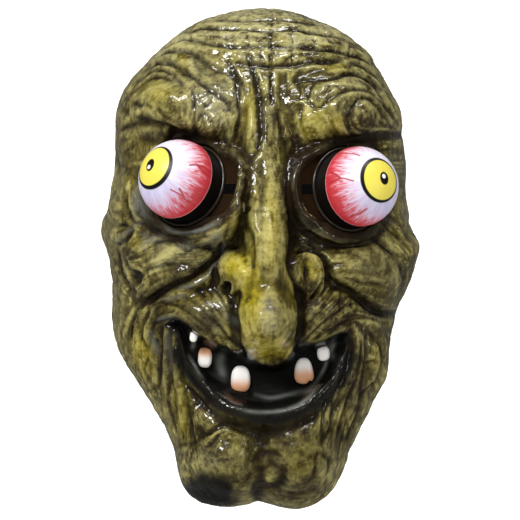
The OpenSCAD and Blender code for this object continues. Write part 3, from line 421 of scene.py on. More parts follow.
# Paint by region: x, z, half width, half height, amount
areas = {
    # sprayed yellow-green
    "yellow": [(-11, -62, 10, 34, 0.9), (-19, -45, 8, 9, 0.9), (-2, -88, 12, 11, 0.55), (1, -20, 6, 36, 0.5),
               (-11, 40, 4, 20, 0.5), (25, 33, 17, 15, 0.5), (-61, 50, 14, 10, 0.4), (-47, 66, 5, 7, 0.35),
               (-68, -92, 10, 20, 0.45), (-46, -125, 6, 22, 0.45), (18, -150, 13, 16, 0.5), (-70, -34, 9, 8, 0.4),
               (23, -46, 6, 8, 0.5), (36, 64, 12, 4, 0.4), (7, 79, 6, 4, 0.3), (38, 32, 5, 12, 0.45),
               (-33, -64, 10, 7, 0.3), (58, -93, 4, 10, 0.3), (-21, -20, 8, 6, 0.3), (12, -45, 5, 25, 0.35),
               (-50, -112, 4, 16, 0.3), (10, -90, 8, 8, 0.35)],
    # dried grey
    "grey": [(-33, 44, 19, 15, 0.95), (-21, 60, 4, 9, 0.75), (-8, 62, 6, 11, 0.6), (-17, 45, 3.5, 12, 0.5),
             (-27, 48, 7, 7, 0.5), (0, -72, 7, 17, 0.9), (-30, -70, 15, 12, 0.4), (-70, -15, 9, 9, 0.7),
             (-60, -30, 8, 6, 0.3), (-30, -40, 6, 12, 0.45), (-29, -148, 12, 9, 0.5), (5, -153, 6, 6, 0.4),
             (40, 42, 6, 6, 0.4), (70, 8, 8, 26, 0.45), (62, -20, 8, 10, 0.35), (70, -60, 8, 24, 0.35),
             (-84, 0, 6, 60, 0.35), (35, -150, 8, 20, 0.35), (50, -120, 8, 20, 0.25), (-45, -36, 8, 6, 0.25),
             (0, 40, 4, 14, 0.3)],
    # sprayed brown, with painted shade under the brows, beside the sockets, under the lip and in other hollows
    "umberAndShade": [(60, 21, 16, 7, 0.35), (-62, 27, 14, 6, 0.5), (-40, 21, 10, 6, 0.6), (-24, 10, 8, 8, 0.8),
              (22, 8, 7, 11, 0.8), (46, -29, 18, 6, 0.7), (-68, -16, 6, 8, 0.4), (-34, -20, 12, 7, 0.8),
              (-66, -62, 12, 7, 0.95), (-30, -45, 5, 8, 0.6), (52, -63, 16, 5, 0.6), (62, -70, 12, 5, 0.7),
              (-4, -131, 40, 8, 0.95), (-36, -122, 12, 8, 0.7), (32, -120, 10, 8, 0.7), (24, -57, 4, 5, 0.9),
              (-24, -56, 4, 5, 0.9), (2, 34, 4, 24, 0.45), (32, -50, 6, 10, 0.8), (-62, -84, 8, 12, 0.5),
              (34, -72, 22, 17, 0.95), (-38, -74, 20, 14, 0.5), (20, -72, 6, 16, 0.7), (48, -100, 14, 28, 0.25),
              (-55, -96, 10, 24, 0.8), (46, -108, 11, 28, 0.8), (-36, -72, 20, 13, 0.7), (14, -146, 30, 26, 1),
              (10, -168, 34, 12, 0.6), (-30, -146, 16, 14, 0.5), (18, -170, 22, 14, 0.8), (-12, -155, 10, 26, 0.6),
              (-40, -140, 14, 20, 0.3), (-46, -112, 9, 26, 0.5), (66, 0, 14, 20, 0.3), (58, -46, 18, 14, 0.3),
              (-76, -40, 8, 20, 0.4), (-5, -172, 6, 14, 0.5), (48, 42, 20, 16, 0.3), (-45, -46, 18, 9, 1),
              (-60, -36, 9, 5, 0.4), (-34, 58, 12, 8, 0.3), (24, -34, 10, 6, 0.6), (60, -18, 14, 8, 0.4)],
    # dry-brushed pale, with painted light on the crown
    "pale": [(56, -42, 22, 16, 0.35), (60, 30, 14, 8, 0.4), (0, 94, 74, 28, 1.8), (-52, 72, 26, 26, 0.7),
             (48, 58, 24, 26, 0.5), (-30, 52, 22, 20, 0.5), (0, -10, 8, 30, 0.4), (-40, -150, 20, 12, 0.4),
             (-52, -40, 26, 12, 0.3), (-60, -160, 12, 20, 0.3)],
    # kept clear of the dark wash and of the painted shade
    "clean": [(-36, -80, 9, 6, 0.6), (72, 38, 8, 10, 0.6), (56, -42, 22, 16, 0.7), (58, 34, 16, 9, 0.7),
              (-22, 25, 17, 12, 1), (21, 30, 14, 15, 1), (-12, 34, 6, 24, 0.7), (-13, -8, 10, 30, 1.3),
              (11, 43, 7, 20, 1.3), (4, -14, 10, 20, 0.6), (0, -10, 12, 40, 0.7), (0, -53, 10, 8, 0.7),
              (-11, -54, 9, 9, 0.8), (66, 38, 8, 14, 0.7), (-76, 40, 8, 16, 0.5), (0, 100, 70, 12, 0.7),
              (-60, 74, 14, 14, 0.5), (-80, -70, 8, 20, 0.5), (74, 10, 6, 20, 0.4)],
    # where the brush was hardly used
    "smooth": [(-2, -55, 17, 48, 1), (-20, -47, 9, 12, 0.9), (56, -44, 22, 20, 1), (0, 2, 9, 26, 0.9),
               (-2, -156, 52, 30, 1.1), (-56, -44, 20, 12, 0.6), (-28, -165, 22, 18, 0.9), (18, -156, 20, 20, 0.5),
               (-34, 50, 14, 14, 0.4), (-60, 48, 14, 12, 0.4)],
    # varnish lying thick
    "wet": [(5, 84, 60, 16, 0.9), (-28, 55, 26, 20, 0.6), (38, 44, 16, 12, 0.5), (-62, 30, 18, 12, 0.7),
            (-68, -14, 12, 12, 0.9), (-34, -26, 30, 10, 0.6), (-36, -52, 26, 12, 0.4), (-48, -76, 20, 10, 0.8),
            (-42, -164, 8, 8, 0.8), (-24, -168, 12, 9, -0.6), (-28, -124, 14, 8, 0.6), (0, -128, 40, 8, 0.3),
            (34, -110, 14, 22, 0.4), (-12, -92, 10, 6, 0.5), (-54, -105, 12, 26, 0.4), (14, 10, 8, 12, 0.4)],
    # varnish lying thin
    "dry": [(-5, -146, 50, 20, 0.8), (-1, -40, 18, 62, 0.75), (-20, -47, 12, 14, 0.6), (22, -48, 12, 14, 0.4),
            (58, -46, 30, 26, 0.6), (-54, -42, 24, 14, 0.4), (24, -72, 26, 20, 0.4), (-3, -106, 46, 18, 0.7),
            (20, -155, 28, 26, 0.35), (26, 30, 18, 18, 0.4), (-12, 30, 8, 26, 0.5)],
}

# Paint along lines: amount, half width, line
paintLines = {
    # black that runs on from the left corner of the mouth
    "ink": [(1, 1.3, [(-63, -76), (-57, -73.5), (-51, -73)])],
    # painted highlights: grey lines along the wet folds
    "grey": [
        (0.8, 0.8, [(-57, -22.3), (-50, -25.2), (-43, -26.1), (-36, -25), (-29, -20.5)]),
        (0.7, 0.8, [(-26, -29), (-29, -37), (-34, -44), (-38, -50)]),
        (0.6, 0.9, [(17, -17), (23, -24), (31, -28.5), (41, -30.5)]),
    ],
    # grey where wet paint mirrors the window: in the mouth, then on the skin
    "sheen": [
        (1, 0.9, [(-7.4, -115), (1, -116.6), (9.5, -115.3), (17, -113.6), (22.9, -111.6), (27.5, -106.5),
                  (31, -100.4), (33, -94), (37, -87)]),
        (1, 0.9, [(-18, -121.3), (-10.5, -123.4), (-2, -124), (8, -122.9), (15.6, -120.4), (21.8, -116), (27, -110)]),
        (0.9, 0.8, [(-43.9, -92.6), (-41, -98), (-38.6, -102.5), (-35.5, -105.6)]),
        (0.6, 2.2, [(-25, -92), (-26.5, -98), (-24, -106)]),
        (0.6, 1.1, [(-43, -80), (-41, -86), (-42, -90)]),
        (0.55, 1.6, [(36, -84), (34.5, -90), (36, -96)]),
        (0.75, 0.75, [(-58.4, -21.5), (-52.3, -25.2), (-43.9, -26.2), (-36.2, -24.8), (-29.4, -21.2),
                      (-26.3, -19.4)]),
        (0.7, 0.6, [(-25.6, -27.5), (-24.8, -34.4), (-29.5, -42.5), (-34.6, -49.8), (-43, -54.8), (-49.3, -56.5)]),
        (0.5, 1.8, [(-69.5, 2), (-71, -6), (-69, -13), (-66.5, -19)]),
        (0.45, 1.6, [(-73, -2), (-74, -9), (-72.5, -16)]),
        (0.5, 1, [(-70, -20.5), (-76.9, -25.5), (-82.2, -32.3)]),
        (0.5, 2.2, [(-69, -26.5), (-66, -31), (-68.5, -36.5)]),
        (0.45, 1.8, [(-66, -31), (-60, -29.5), (-57.5, -28)]),
        (0.6, 2.2, [(-33.5, -32), (-29.5, -29.5), (-27, -27)]),
        (0.4, 2, [(-48, -34.5), (-43.5, -33), (-39, -34)]),
        (0.5, 1.2, [(-57, -62.5), (-51, -61.5), (-45, -60)]),
        (0.5, 0.8, [(-62, -74), (-56, -72.5), (-51, -71.5)]),
        (0.4, 1.4, [(-66, -78), (-64, -86), (-60, -92)]),
        (0.35, 1.2, [(-55, -80), (-54, -92), (-53, -104)]),
        (0.45, 0.8, [(17, -17), (23, -24), (31, -28.5)]),
        (0.35, 1.4, [(-30, -62), (-24, -69), (-19, -78)]),
    ],
    # dry brush along the folds
    "pale": [
        (0.6, 2.6, [(-65, -48), (-59, -41), (-52, -35.5), (-43, -33), (-33, -31), (-27, -29)]),
        (0.7, 0.7, [(-74.6, -24.4), (-79, -30.5), (-81, -37.5), (-79.6, -46.7), (-76, -55), (-71.5, -62.8)]),
        (0.5, 2, [(-38, -66), (-32, -73), (-27, -81)]),
        (0.45, 1.6, [(-30, -58), (-26, -66), (-22, -75)]),
        (0.6, 1.6, [(-27, 42), (-24, 33), (-22, 22)]),
        (0.6, 1.5, [(-12, 50), (-10.5, 38), (-11.5, 24)]),
        (0.6, 1.6, [(12, 44), (15.5, 34), (18, 23)]),
        (0.6, 1.6, [(18, 42), (23, 33), (28, 23)]),
        (0.5, 1.6, [(2, 16), (1, 0), (1, -14)]),
        (0.5, 1, [(7, -6), (8.5, -16), (8, -24)]),
    ],
    # painted shade in the folds
    "umberAndShade": [
        (0.7, 2.6, [(-3, 40), (-4, 28), (-4, 16)]),
        (0.8, 3, [(-40, -24), (-32, -25), (-26, -22)]),
        (0.5, 3, [(24, 50), (29, 45), (32, 38)]),
        (1, 4.4, [(-66, -60), (-57, -53.5), (-48, -49.5), (-40, -45), (-33, -39.5)]),
        (0.9, 3, [(-33, -45), (-30, -50), (-24, -52)]),
        (0.9, 3.2, [(12.5, -5), (13.5, -16), (13, -28), (12.5, -40), (13.5, -50)]),
        (0.8, 3, [(36, -54), (46, -58.5), (56, -66), (68, -69.5)]),
        (0.8, 4, [(-32, 22), (-24, 12), (-19, 4)]),
        (0.8, 4, [(34, 19), (24, 12), (18, 2)]),
    ],
    # painted shade in the deep places, black-brown in the grooves and creases
    "deepShade": [
        (0.75, 0.8, [(-45, 61.5), (-36, 53.7), (-26.5, 47), (-19.5, 44)]),
        (0.7, 0.9, [(-20.5, 65), (-15, 55.5), (-12.7, 49.7)]),
        (0.75, 1, [(-13.7, 71), (-9, 61.5), (-7, 49.7)]),
        (0.6, 0.7, [(-41, 46), (-42.8, 37), (-39, 30)]),
        (0.55, 1.3, [(-12, 67), (-8.5, 58), (-7.2, 50)]),
        (0.5, 1.2, [(-22, 62), (-16, 55), (-12, 47)]),
        (0.45, 1.6, [(-30, 60), (-26, 53), (-22, 48)]),
        (0.4, 2.2, [(26, 52), (31, 49), (34, 43)]),
        (0.5, 1.5, [(40, -95), (38, -106), (33, -116)]),
        (0.45, 3, [(4, -140), (14, -141), (24, -137)]),
        (0.4, 3, [(-12, -142), (-14, -154), (-12, -166)]),
        (0.4, 2.6, [(16, -166), (24, -160), (30, -150)]),
        (0.95, 2.6, [(-69, -64), (-62, -60.5), (-52.3, -55.5), (-43, -51.5), (-37, -47), (-31, -40)]),
        (0.8, 2.2, [(12, -8), (12.5, -18), (12.5, -28), (12, -38), (12.5, -46)]),
        (0.8, 1.6, [(-22, -58), (-24, -55)]),
        (0.8, 1.6, [(24, -58), (25, -55)]),
        (0.6, 3, [(-36, -107), (-30, -118), (-20, -127), (-8, -131), (6, -131.5), (18, -128), (28, -120)]),
        (0.6, 1.8, [(34, -55), (42, -58), (52, -62), (62, -68)]),
        (0.5, 1.6, [(16, -60), (15.5, -70), (15, -80)]),
        (0.5, 1.4, [(-4.4, 50), (-4, 38), (-4.4, 26)]),
        (0.6, 2.6, [(-50, 27), (-40, 23), (-31, 17)]),
        (0.15, 2.6, [(62, 25), (52, 23.5), (42, 21), (33, 17)]),
        (0.5, 2, [(-64, -82), (-63, -90), (-60, -96)]),
        (0.55, 1, [(-48, -80), (-46.5, -100), (-44, -121), (-42.3, -140)]),
        (0.5, 0.8, [(-47, -142), (-38, -140.5)]),
    ],
}
inkPatch = (-33, -168, 16, 11.5)   # black on the chin: x, z, half width, half height
# the grid the brush strokes are drawn on, in mm; each line turns the strokes within its reach
strokes = {"cell": 0.5, "height": 0.17, "left": -105, "right": 105, "foot": -190, "top": 110, "reach": 12}


def smoothLine(points, steps=5):
    # Catmull-Rom curve through the points, that many steps between each two
    p = np.array(points, float)
    p = np.concatenate([[2 * p[0] - p[1]], p, [2 * p[-1] - p[-2]]])
    t = np.arange(steps)[:, None] / steps
    a, b, c, d = (p[k:len(p) - 3 + k, None, :] for k in range(4))
    curve = 0.5 * (2 * b + (c - a) * t + (2 * a - 5 * b + 4 * c - d) * t ** 2 + (3 * b - a - 3 * c + d) * t ** 3)
    return np.concatenate([curve.reshape(-1, 2), p[-2:-1]])


def nearLine(px, pz, line):
    # distance to the nearest point of the line, and its share of the way along
    best, where = np.full(px.shape, 1e9), np.zeros(px.shape)
    steps = np.linalg.norm(np.diff(line, axis=0), axis=1)
    start = np.concatenate([[0], np.cumsum(steps)])
    for k, length in enumerate(steps):
        (ax, az), (bx, bz) = line[k], line[k + 1]
        t = np.clip(((px - ax) * (bx - ax) + (pz - az) * (bz - az)) / max(length ** 2, 1e-9), 0, 1)
        d = np.hypot(px - ax - t * (bx - ax), pz - az - t * (bz - az))
        closer = d < best
        best, where = np.where(closer, d, best), np.where(closer, start[k] + t * length, where)
    return best, where / start[-1]


def lineField(sx, sz, rows, shape):
    # adds up shape(distance / half width) * height over the lines, fading out at both ends of each
    total = np.zeros(sx.shape)
    for height, width, points in rows:
        line = smoothLine(points)
        reach = 4.5 * width
        near = ((sx > line[:, 0].min() - reach) & (sx < line[:, 0].max() + reach)
                & (sz > line[:, 1].min() - reach) & (sz < line[:, 1].max() + reach))
        d, along = nearLine(sx[near], sz[near], line)
        total[near] += height * shape(d / width) * ease(-0.12, 0.2, np.minimum(along, 1 - along))
    return total


def strokeField(rows):
    # Paint strokes that run with the wrinkles. Directions spread from each line as doubled angles, falling off as
    # exp(-(distance / 6)^2), and random specks are averaged along the direction at each place.
    cell, reach = strokes["cell"], strokes["reach"]
    x, z = np.meshgrid(np.arange(strokes["left"], strokes["right"], cell),
                       np.arange(strokes["foot"], strokes["top"], cell))
    c, s = 0.03 * (1 - 2 * ease(-60, -95, z)), 0.0 * x     # level on the face, upright on the jaw

    def span(a, b, start):  # the cells that lie within reach of a to b
        return slice(max(int((min(a, b) - (start + reach)) / cell), 0), int((max(a, b) - (start - reach)) / cell))

    for _, _, points in rows:
        line = smoothLine(points, 2)
        for (ax, az), (bx, bz) in zip(line[:-1], line[1:]):
            box = span(az, bz, strokes["foot"]), span(ax, bx, strokes["left"])
            long = np.hypot(bx - ax, bz - az)
            t = np.clip(((x[box] - ax) * (bx - ax) + (z[box] - az) * (bz - az)) / long ** 2, 0, 1)
            away = np.hypot(x[box] - ax - t * (bx - ax), z[box] - az - t * (bz - az))
            w = long * bell(away / 6)
            twice = 2 * np.arctan2(bz - az, bx - ax)
            c[box] += w * np.cos(twice)
            s[box] += w * np.sin(twice)
    bearing = 0.5 * np.arctan2(s, c)
    dx, dz = np.cos(bearing), np.sin(bearing)
    rowCount, columns = x.shape
    j0, i0 = np.meshgrid(np.arange(rowCount), np.arange(columns), indexing="ij")
    field = 0
    for spread, share in ((0, 1.0), (1, 0.7)):    # fine specks, then wider ones
        specks = np.random.default_rng(7 + spread).standard_normal(x.shape)
        if spread:
            specks = blur(specks, spread)
        total = specks.copy()
        for way in (1, -1):
            i, j, u, v = i0.astype(float), j0.astype(float), way * dx, way * dz
            for _ in range(9):
                i, j = np.clip(i + u, 0, columns - 1), np.clip(j + v, 0, rowCount - 1)
                ci, cj = np.rint(i).astype(int), np.rint(j).astype(int)
                total += specks[cj, ci]
                flip = np.where(u * dx[cj, ci] + v * dz[cj, ci] < 0, -1, 1)
                u, v = flip * dx[cj, ci], flip * dz[cj, ci]
        field = field + share * total / total.std()
    return field / field.std()


def sampleStrokes(field, sx, sz):  # the four cells round each place, weighted by nearness
    i = np.clip((sx - strokes["left"]) / strokes["cell"], 0, field.shape[1] - 1.01)
    j = np.clip((sz - strokes["foot"]) / strokes["cell"], 0, field.shape[0] - 1.01)
    a, b = i.astype(int), j.astype(int)
    u, v = i - a, j - b
    return ((field[b, a] * (1 - u) + field[b, a + 1] * u) * (1 - v)
            + (field[b + 1, a] * (1 - u) + field[b + 1, a + 1] * u) * v)


def lumpField(sx, sz, rows):  # rise * (1 - r^2.6)^2 inside each ellipse
    total = np.zeros(sx.shape)
    for x, z, halfWidth, halfHeight, rise in rows:
        r = np.minimum(np.hypot((sx - x) / halfWidth, (sz - z) / halfHeight), 1)
        total += rise * (1 - r ** 2.6) ** 2
    return total


def insideDepth(sx, sz, edge):  # distance inside a closed outline, negative outside
    line = np.array(edge + edge[:1], float)
    d, _ = nearLine(sx, sz, line)
    inside = np.zeros(sx.shape, bool)
    for (ax, az), (bx, bz) in zip(line[:-1], line[1:]):
        if az != bz:
            inside ^= ((az > sz) != (bz > sz)) & (sx < (bx - ax) * (sz - az) / (bz - az) + ax)
    return np.where(inside, d, -d)


def blur(grid, size):  # box average over a window of 2 * size + 1 points both ways, twice
    for _ in range(2):
        for axis in (0, 1):
            pad = [(0, 0)] * grid.ndim
            pad[axis] = (size + 1, size)
            total = np.cumsum(np.pad(grid, pad, mode="edge"), axis=axis)
            ends = np.take(total, np.arange(2 * size + 1, total.shape[axis]), axis=axis)
            starts = np.take(total, np.arange(0, total.shape[axis] - 2 * size - 1), axis=axis)
            grid = (ends - starts) / (2 * size + 1)
    return grid


def gridNormals(p):  # outward, from the differences along both ways of the grid
    du = np.gradient(p, axis=1)
    dv = np.gradient(p, axis=0)
    return unit(np.cross(du, dv))


def onSightPlane(p):  # x and z where the line from the viewer to the point crosses the upright plane
    k = (1 - viewer["plane"] / viewer["far"]) / (1 + p[..., 1] / viewer["far"])
    return ((p[..., 0] - viewer["slope"] * p[..., 1]) * k - viewer["shift"],
            (p[..., 2] - viewer["up"]) * k + viewer["up"])


def outlineRadius(bearing):  # from the middle of the face to the rim, straight between the outline's points, then eased
    knots = np.array(face["outline"], float) - [0, face["midZ"]]
    angle = np.degrees(np.arctan2(knots[:, 1], knots[:, 0]))
    fine = np.arange(-180, 180, 0.5)
    radius = np.interp(fine, angle, np.hypot(*knots.T), period=360)
    for _ in range(3):
        radius = (np.roll(radius, 1) + 2 * radius + np.roll(radius, -1)) / 4
    return np.interp(np.degrees(bearing), fine, radius, period=360)


def sculptFace():
    # A square laid on a disc gives each point a turn from the front and a bearing; turn and bearing give the place
    a, b = np.meshgrid(np.linspace(-1, 1, face["across"] + 1), np.linspace(-1, 1, face["down"] + 1))
    u, v = a * np.sqrt(1 - b * b / 2), b * np.sqrt(1 - a * a / 2)
    r = np.hypot(u, v)
    turn, bearing = np.radians(r * (0.66 + 0.34 * r) * face["turnEnd"]), np.arctan2(v, u)
    reach = outlineRadius(bearing) * np.sin(turn)
    x, z = reach * np.cos(bearing), face["midZ"] + reach * np.sin(bearing)

    # points inside a socket move out to its edge
    hole = np.zeros(x.shape, bool)
    for eye in eyes.values():
        d = footPlane(eye, x, z) - eye["foot"]
        far, edge = np.linalg.norm(d, axis=-1), socketEdge(eye, d)
        inside = far < edge - 0.01
        hole |= inside
        grow = np.where(inside, edge / np.maximum(far, 0.01), 1)
        x, z = eye["foot"][0] + (x - eye["foot"][0]) * grow, eye["foot"][2] + (z - eye["foot"][2]) * grow
    share = np.hypot(x, z - face["midZ"]) / outlineRadius(np.arctan2(z - face["midZ"], x))
    turn = np.where(turn > np.radians(80), turn, np.arcsin(np.minimum(share, 1)))
    bearing, turnDeg = np.arctan2(z - face["midZ"], x), np.degrees(turn)

    # the plain shell, then the round forms, pushed forward in front and outward at the sides
    fall = np.maximum(np.cos(turn), 0) ** face["fullness"]
    rimReach = face["rimSide"] + np.where(bearing > 0, face["rimCrown"], face["rimChin"])
    rimY = face["rimSide"] - rimReach * np.sin(bearing) ** 2
    past = np.maximum(turnDeg - 90, 0) / (face["turnEnd"] - 90)
    p = np.stack([x, rimY * (1 - fall) - face["depth"] * fall + face["rimRoll"] * past, z], -1)
    sideways = ease(40, 85, turnDeg) * np.sin(turn)
    push = unit(np.stack([sideways * np.cos(bearing), -np.maximum(0.15, np.cos(turn)), sideways * np.sin(bearing)], -1))
    calm = 1 - 0.2 * ease(0, 1, np.sin(np.minimum(turn, np.pi / 2)))
    sx, sz = onSightPlane(p)
    y = p[..., 1]
    for _ in range(2):
        rise = lumpField(sx, sz, face["forms"]) + lumpField(sx, sz, [face["cheekbone"]]) * ease(-12, -30, y)
        shaped = p + (rise * calm)[..., None] * push
        sx, sz = onSightPlane(shaped)
        y = shaped[..., 1]
    p = shaped

    # both sockets pressed in, down to the plane of the plate behind them
    clear = np.full(x.shape, 1e9)
    for eye in eyes.values():
        onPlane = footPlane(eye, x, z)
        d = onPlane - eye["foot"]
        beyond = np.linalg.norm(d, axis=-1) - socketEdge(eye, d)
        e = p - eye["foot"]
        off = np.linalg.norm(e - (e @ eye["sight"])[..., None] * eye["sight"], axis=-1) - eyePlan["collar"]
        w = 1 - ease(1.5, 8, np.minimum(beyond, off))[..., None]
        p = p * (1 - w) + (onPlane + eyePlan["skin"] * eye["sight"]) * w
        clear = np.minimum(clear, beyond)
    print("face pressed")

    # carved lines, lumps and skin grain, along the surface's own outward direction
    sx, sz = onSightPlane(p)
    byArea = lambda key: lumpField(sx, sz, areas[key])
    byLine = lambda key: lineField(sx, sz, paintLines[key], bell)
    grooveShape = lambda q: -0.95 * bell(q / 0.8) + 0.3 * bell((q - 2.1) / 1.3)    # cut with a raised edge
    carved = lineField(sx, sz, grooves, grooveShape) + lineField(sx, sz, ridges, bell)
    carved *= 0.85 + 0.4 * layeredNoise(p, 9, 91)
    carved += lumpField(sx, sz, lumps)
    carved *= 1 - 0.75 * ease(70, 86, turnDeg)    # fades where the face turns away
    sideWrap = ease(62, 80, turnDeg)
    brushed = np.clip((0.55 + 0.6 * layeredNoise(p, 34, 15)) * (1 - 0.75 * np.minimum(byArea("smooth"), 1))
                      * (1 - 0.8 * sideWrap), 0.05, 1)
    stroke = sampleStrokes(strokeField(grooves + ridges), sx, sz)
    q = p + 5 * np.stack([layeredNoise(p, 22, seed) for seed in (11, 21, 31)], -1)
    # folds lie level on the crown, run down the jaw and go every way between; cell sizes are in mm
    crown, jaw = ease(52, 62, sz), ease(-72, -84, sz) * ease(24, 34, np.abs(sx + 4))
    plain = (1 - crown) * (1 - jaw)
    foldNoise = (crown * latticeNoise(q / [16, 16, 4.2], 1, 3) + jaw * latticeNoise(q / [4.6, 9, 17], 1, 4)
                 + plain * latticeNoise(q / [8, 8, 8], 1, 5))
    fineNoise = (crown * latticeNoise(q / [7, 7, 2.2], 1, 6) + jaw * latticeNoise(q / [2.4, 5, 9], 1, 7)
                 + plain * latticeNoise(q / [3.6, 3.6, 3.6], 1, 8))
    strength = 0.22 + 0.3 * crown + 0.35 * jaw
    grain = (-strength * (bell(foldNoise / 0.12) + 0.5 * bell(fineNoise / 0.16))
             + 0.9 * layeredNoise(p, 17, 41) + 0.22 * latticeNoise(p, 2.6, 51)
             + strokes["height"] * stroke * brushed)
    mouth = insideDepth(sx, sz, mouthEdge)
    quiet = ease(0, 7, clear) * ease(97, 90, turnDeg) * ease(3, -2, mouth)
    height = carved * ease(-1, 4, clear) * ease(97, 88, turnDeg) * ease(6, 1, mouth) + grain * quiet
    # smooth and full over the rubber patches, which are set into the skin from behind
    for side in eyes:
        low, high = (np.array(v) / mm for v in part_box("strap_patch_" + side))
        middle = (low + high) / 2
        far = np.linalg.norm((p - middle)[..., 1:], axis=-1) + 1e3 * (np.abs(p[..., 0] - middle[0]) > 20)
        cover = ease(21, 14, far)
        height = height * (1 - cover) + 0.9 * cover
    outward = gridNormals(blur(p, 2))
    p = p + height[..., None] * outward

    # the mouth is sunk behind its edge, with the gum and the lower lip standing up from it
    form = {key: lineField(sx, sz, [row], bell) for key, row in mouthForms.items()}
    p[..., 1] += (9.5 * ease(-0.5, 4.5, mouth) - form["gum"] * ease(0, 3, mouth) - form["lip"] + form["under"]
                  + 0.25 * latticeNoise(p, 9, 61) * ease(1, 4, mouth))
    print("face carved")

    # paint: wash settles in hollows, dry brush catches the high places; a hollow lies below the average round it
    outward = gridNormals(blur(p, 1))
    hollowFine, hollowBroad, hollowWide = (np.sum((blur(p, size) - p) * outward, -1) for size in (2, 6, 14))
    lineWash = lineField(sx, sz, [(0.32 * depth + 0.12, 1.15 * width, line) for depth, width, line in grooves], bell)
    clean = np.minimum(byArea("clean"), 1)
    wash = (ease(0.03, 0.34, hollowFine) * 0.75 + ease(0.2, 1.8, hollowBroad) * 0.6
            + 0.55 * lineWash * (1 - ease(70, 84, turnDeg))) * (1 - 0.6 * clean)
    dry = ease(0.02, 0.24, -hollowFine) * 0.8 + ease(0.2, 1.6, -hollowBroad) * 0.5
    yellow, grey, umberAndShade = (np.minimum(byArea(key), 1) * (1 - 0.7 * sideWrap) for key in ("yellow", "grey", "umberAndShade"))
    # grey patches, and painted highlight lines along the wet folds
    grey = np.maximum(grey, byLine("grey"))
    # brown paint from the areas, and painted shade round the sockets and in the folds
    umberAndShade = np.maximum(np.maximum(umberAndShade, 0.95 * ease(14, 3, clear)), byLine("umberAndShade"))
    # paler where the face turns away: painted reflection of the surroundings at the rim
    pale = byArea("pale") + byLine("pale") + 0.4 * ease(62, 82, turnDeg)

    # black inside the mouth, on the lower lip and in one patch of the chin
    patchX, patchZ, halfWidth, halfHeight = inkPatch
    patch = (np.hypot((sx - patchX) / halfWidth, (sz - patchZ) / halfHeight) + 0.3 * layeredNoise(p, 12, 71)
             - 0.06 * stroke)
    fromLip, _ = nearLine(sx, sz, smoothLine(mouthForms["lip"][2]))
    ink = np.maximum(ease(-2, 0.2, mouth), byLine("ink"))
    ink = np.maximum(ink, 0.97 * ease(1.35, 0.6, patch))
    ink = np.maximum(ink, 0.97 * ease(9, 3.5, fromLip + 1.2 * layeredNoise(p, 8, 81)))

    # grey mirrored by wet paint, painted shade in broad hollows, varnish, painted shade at sockets and deep folds
    sheen = np.clip(byLine("sheen") * (0.75 + 0.6 * layeredNoise(p, 7, 37)), 0, 1)
    paintedValleyShade = ease(0.6, 4.5, hollowWide) * (1 - clean)
    varnish = np.clip(0.68 + 0.4 * layeredNoise(p, 26, 23) + 0.6 * byArea("wet") - 0.6 * byArea("dry"), 0.04, 1)
    varnish = varnish * (1 - 0.7 * ease(0.5, 4, mouth))
    deepShade = ease(11, 2, clear + 2.5 * layeredNoise(p, 9, 29)) * 0.88 * (1 - 0.9 * clean)
    deepShade = np.maximum(deepShade, byLine("deepShade") * (0.85 + 0.5 * layeredNoise(p, 6, 43)))
    masks = {"paintA": np.stack([wash, dry, yellow], -1),
             "paintB": np.stack([grey, umberAndShade, ink], -1),
             "paintC": np.stack([0.5 + 0.3 * stroke * brushed, paintedValleyShade, pale], -1),
             "paintD": np.stack([varnish, sheen, deepShade], -1)}
    masks = {k: np.clip(v, 0, 1) for k, v in masks.items()}
    return p, hole, masks, sx, sz


def addSkin(material, insideMaterial):
    # the sculpted grid as the outside, the same grid moved one wall thickness inwards as the inside
    p, hole, masks, sx, sz = sculptFace()
    rows, columns = p.shape[:2]
    inward = p - face["wall"] * gridNormals(blur(p, 3))
    index = np.arange(rows * columns).reshape(rows, columns)

    def cells(step):  # kept cells of the grid taken every step points, as quads and as a map
        k = index[::step, ::step]
        h = hole[::step, ::step]
        keep = ~(h[:-1, :-1] & h[1:, :-1] & h[1:, 1:] & h[:-1, 1:])
        quads = np.stack([k[:-1, :-1], k[:-1, 1:], k[1:, 1:], k[1:, :-1]], -1)
        return quads[keep], keep

    outer, keep = cells(1)
    # edges with a kept cell on one side only carry the wall round the rim and both sockets
    padded = np.pad(keep, 1)
    walls = []
    for quadSide, (dj, di) in enumerate([(-1, 0), (0, 1), (1, 0), (0, -1)]):
        beyond = padded[1 + dj:1 + dj + keep.shape[0], 1 + di:1 + di + keep.shape[1]]
        quads = np.stack([index[:-1, :-1], index[:-1, 1:], index[1:, 1:], index[1:, :-1]], -1)[keep & ~beyond]
        walls.append(np.stack([quads[:, (quadSide + 1) % 4], quads[:, quadSide],
                               quads[:, quadSide] + rows * columns, quads[:, (quadSide + 1) % 4] + rows * columns], -1))
    points = np.concatenate([p.reshape(-1, 3), inward.reshape(-1, 3)])
    masks = {k: np.concatenate([v.reshape(-1, 3), v.reshape(-1, 3)]) for k, v in masks.items()}
    used, points, faces = compact(points, [outer, np.concatenate(walls)])
    skin = makePiece("latex_face", points, faces, "mask", material,
                     masks={k: v[used] for k, v in masks.items()})
    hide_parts("mask_skin")
    inner, _ = cells(2)
    used, points, faces = compact(inward.reshape(-1, 3), [inner[:, ::-1]])
    makePiece("latex_inside", points, faces, "mask", insideMaterial)
    return p, sx, sz


def compact(points, faces):  # drops the points that no face uses
    used = np.unique(np.concatenate([f.ravel() for f in faces]))
    renumber = np.zeros(len(points), np.int64)
    renumber[used] = np.arange(len(used))
    return used, points[used], [renumber[f] for f in faces]


def startMaterial(name):  # a new material with its node tree, its shader and the place on the object
    material = bpy.data.materials.new(name)
    material.use_nodes = True
    tree = material.node_tree
    shader = tree.nodes["Principled BSDF"]
    place = addNode(tree, "ShaderNodeTexCoord").outputs["Object"]
    return material, tree, shader, place


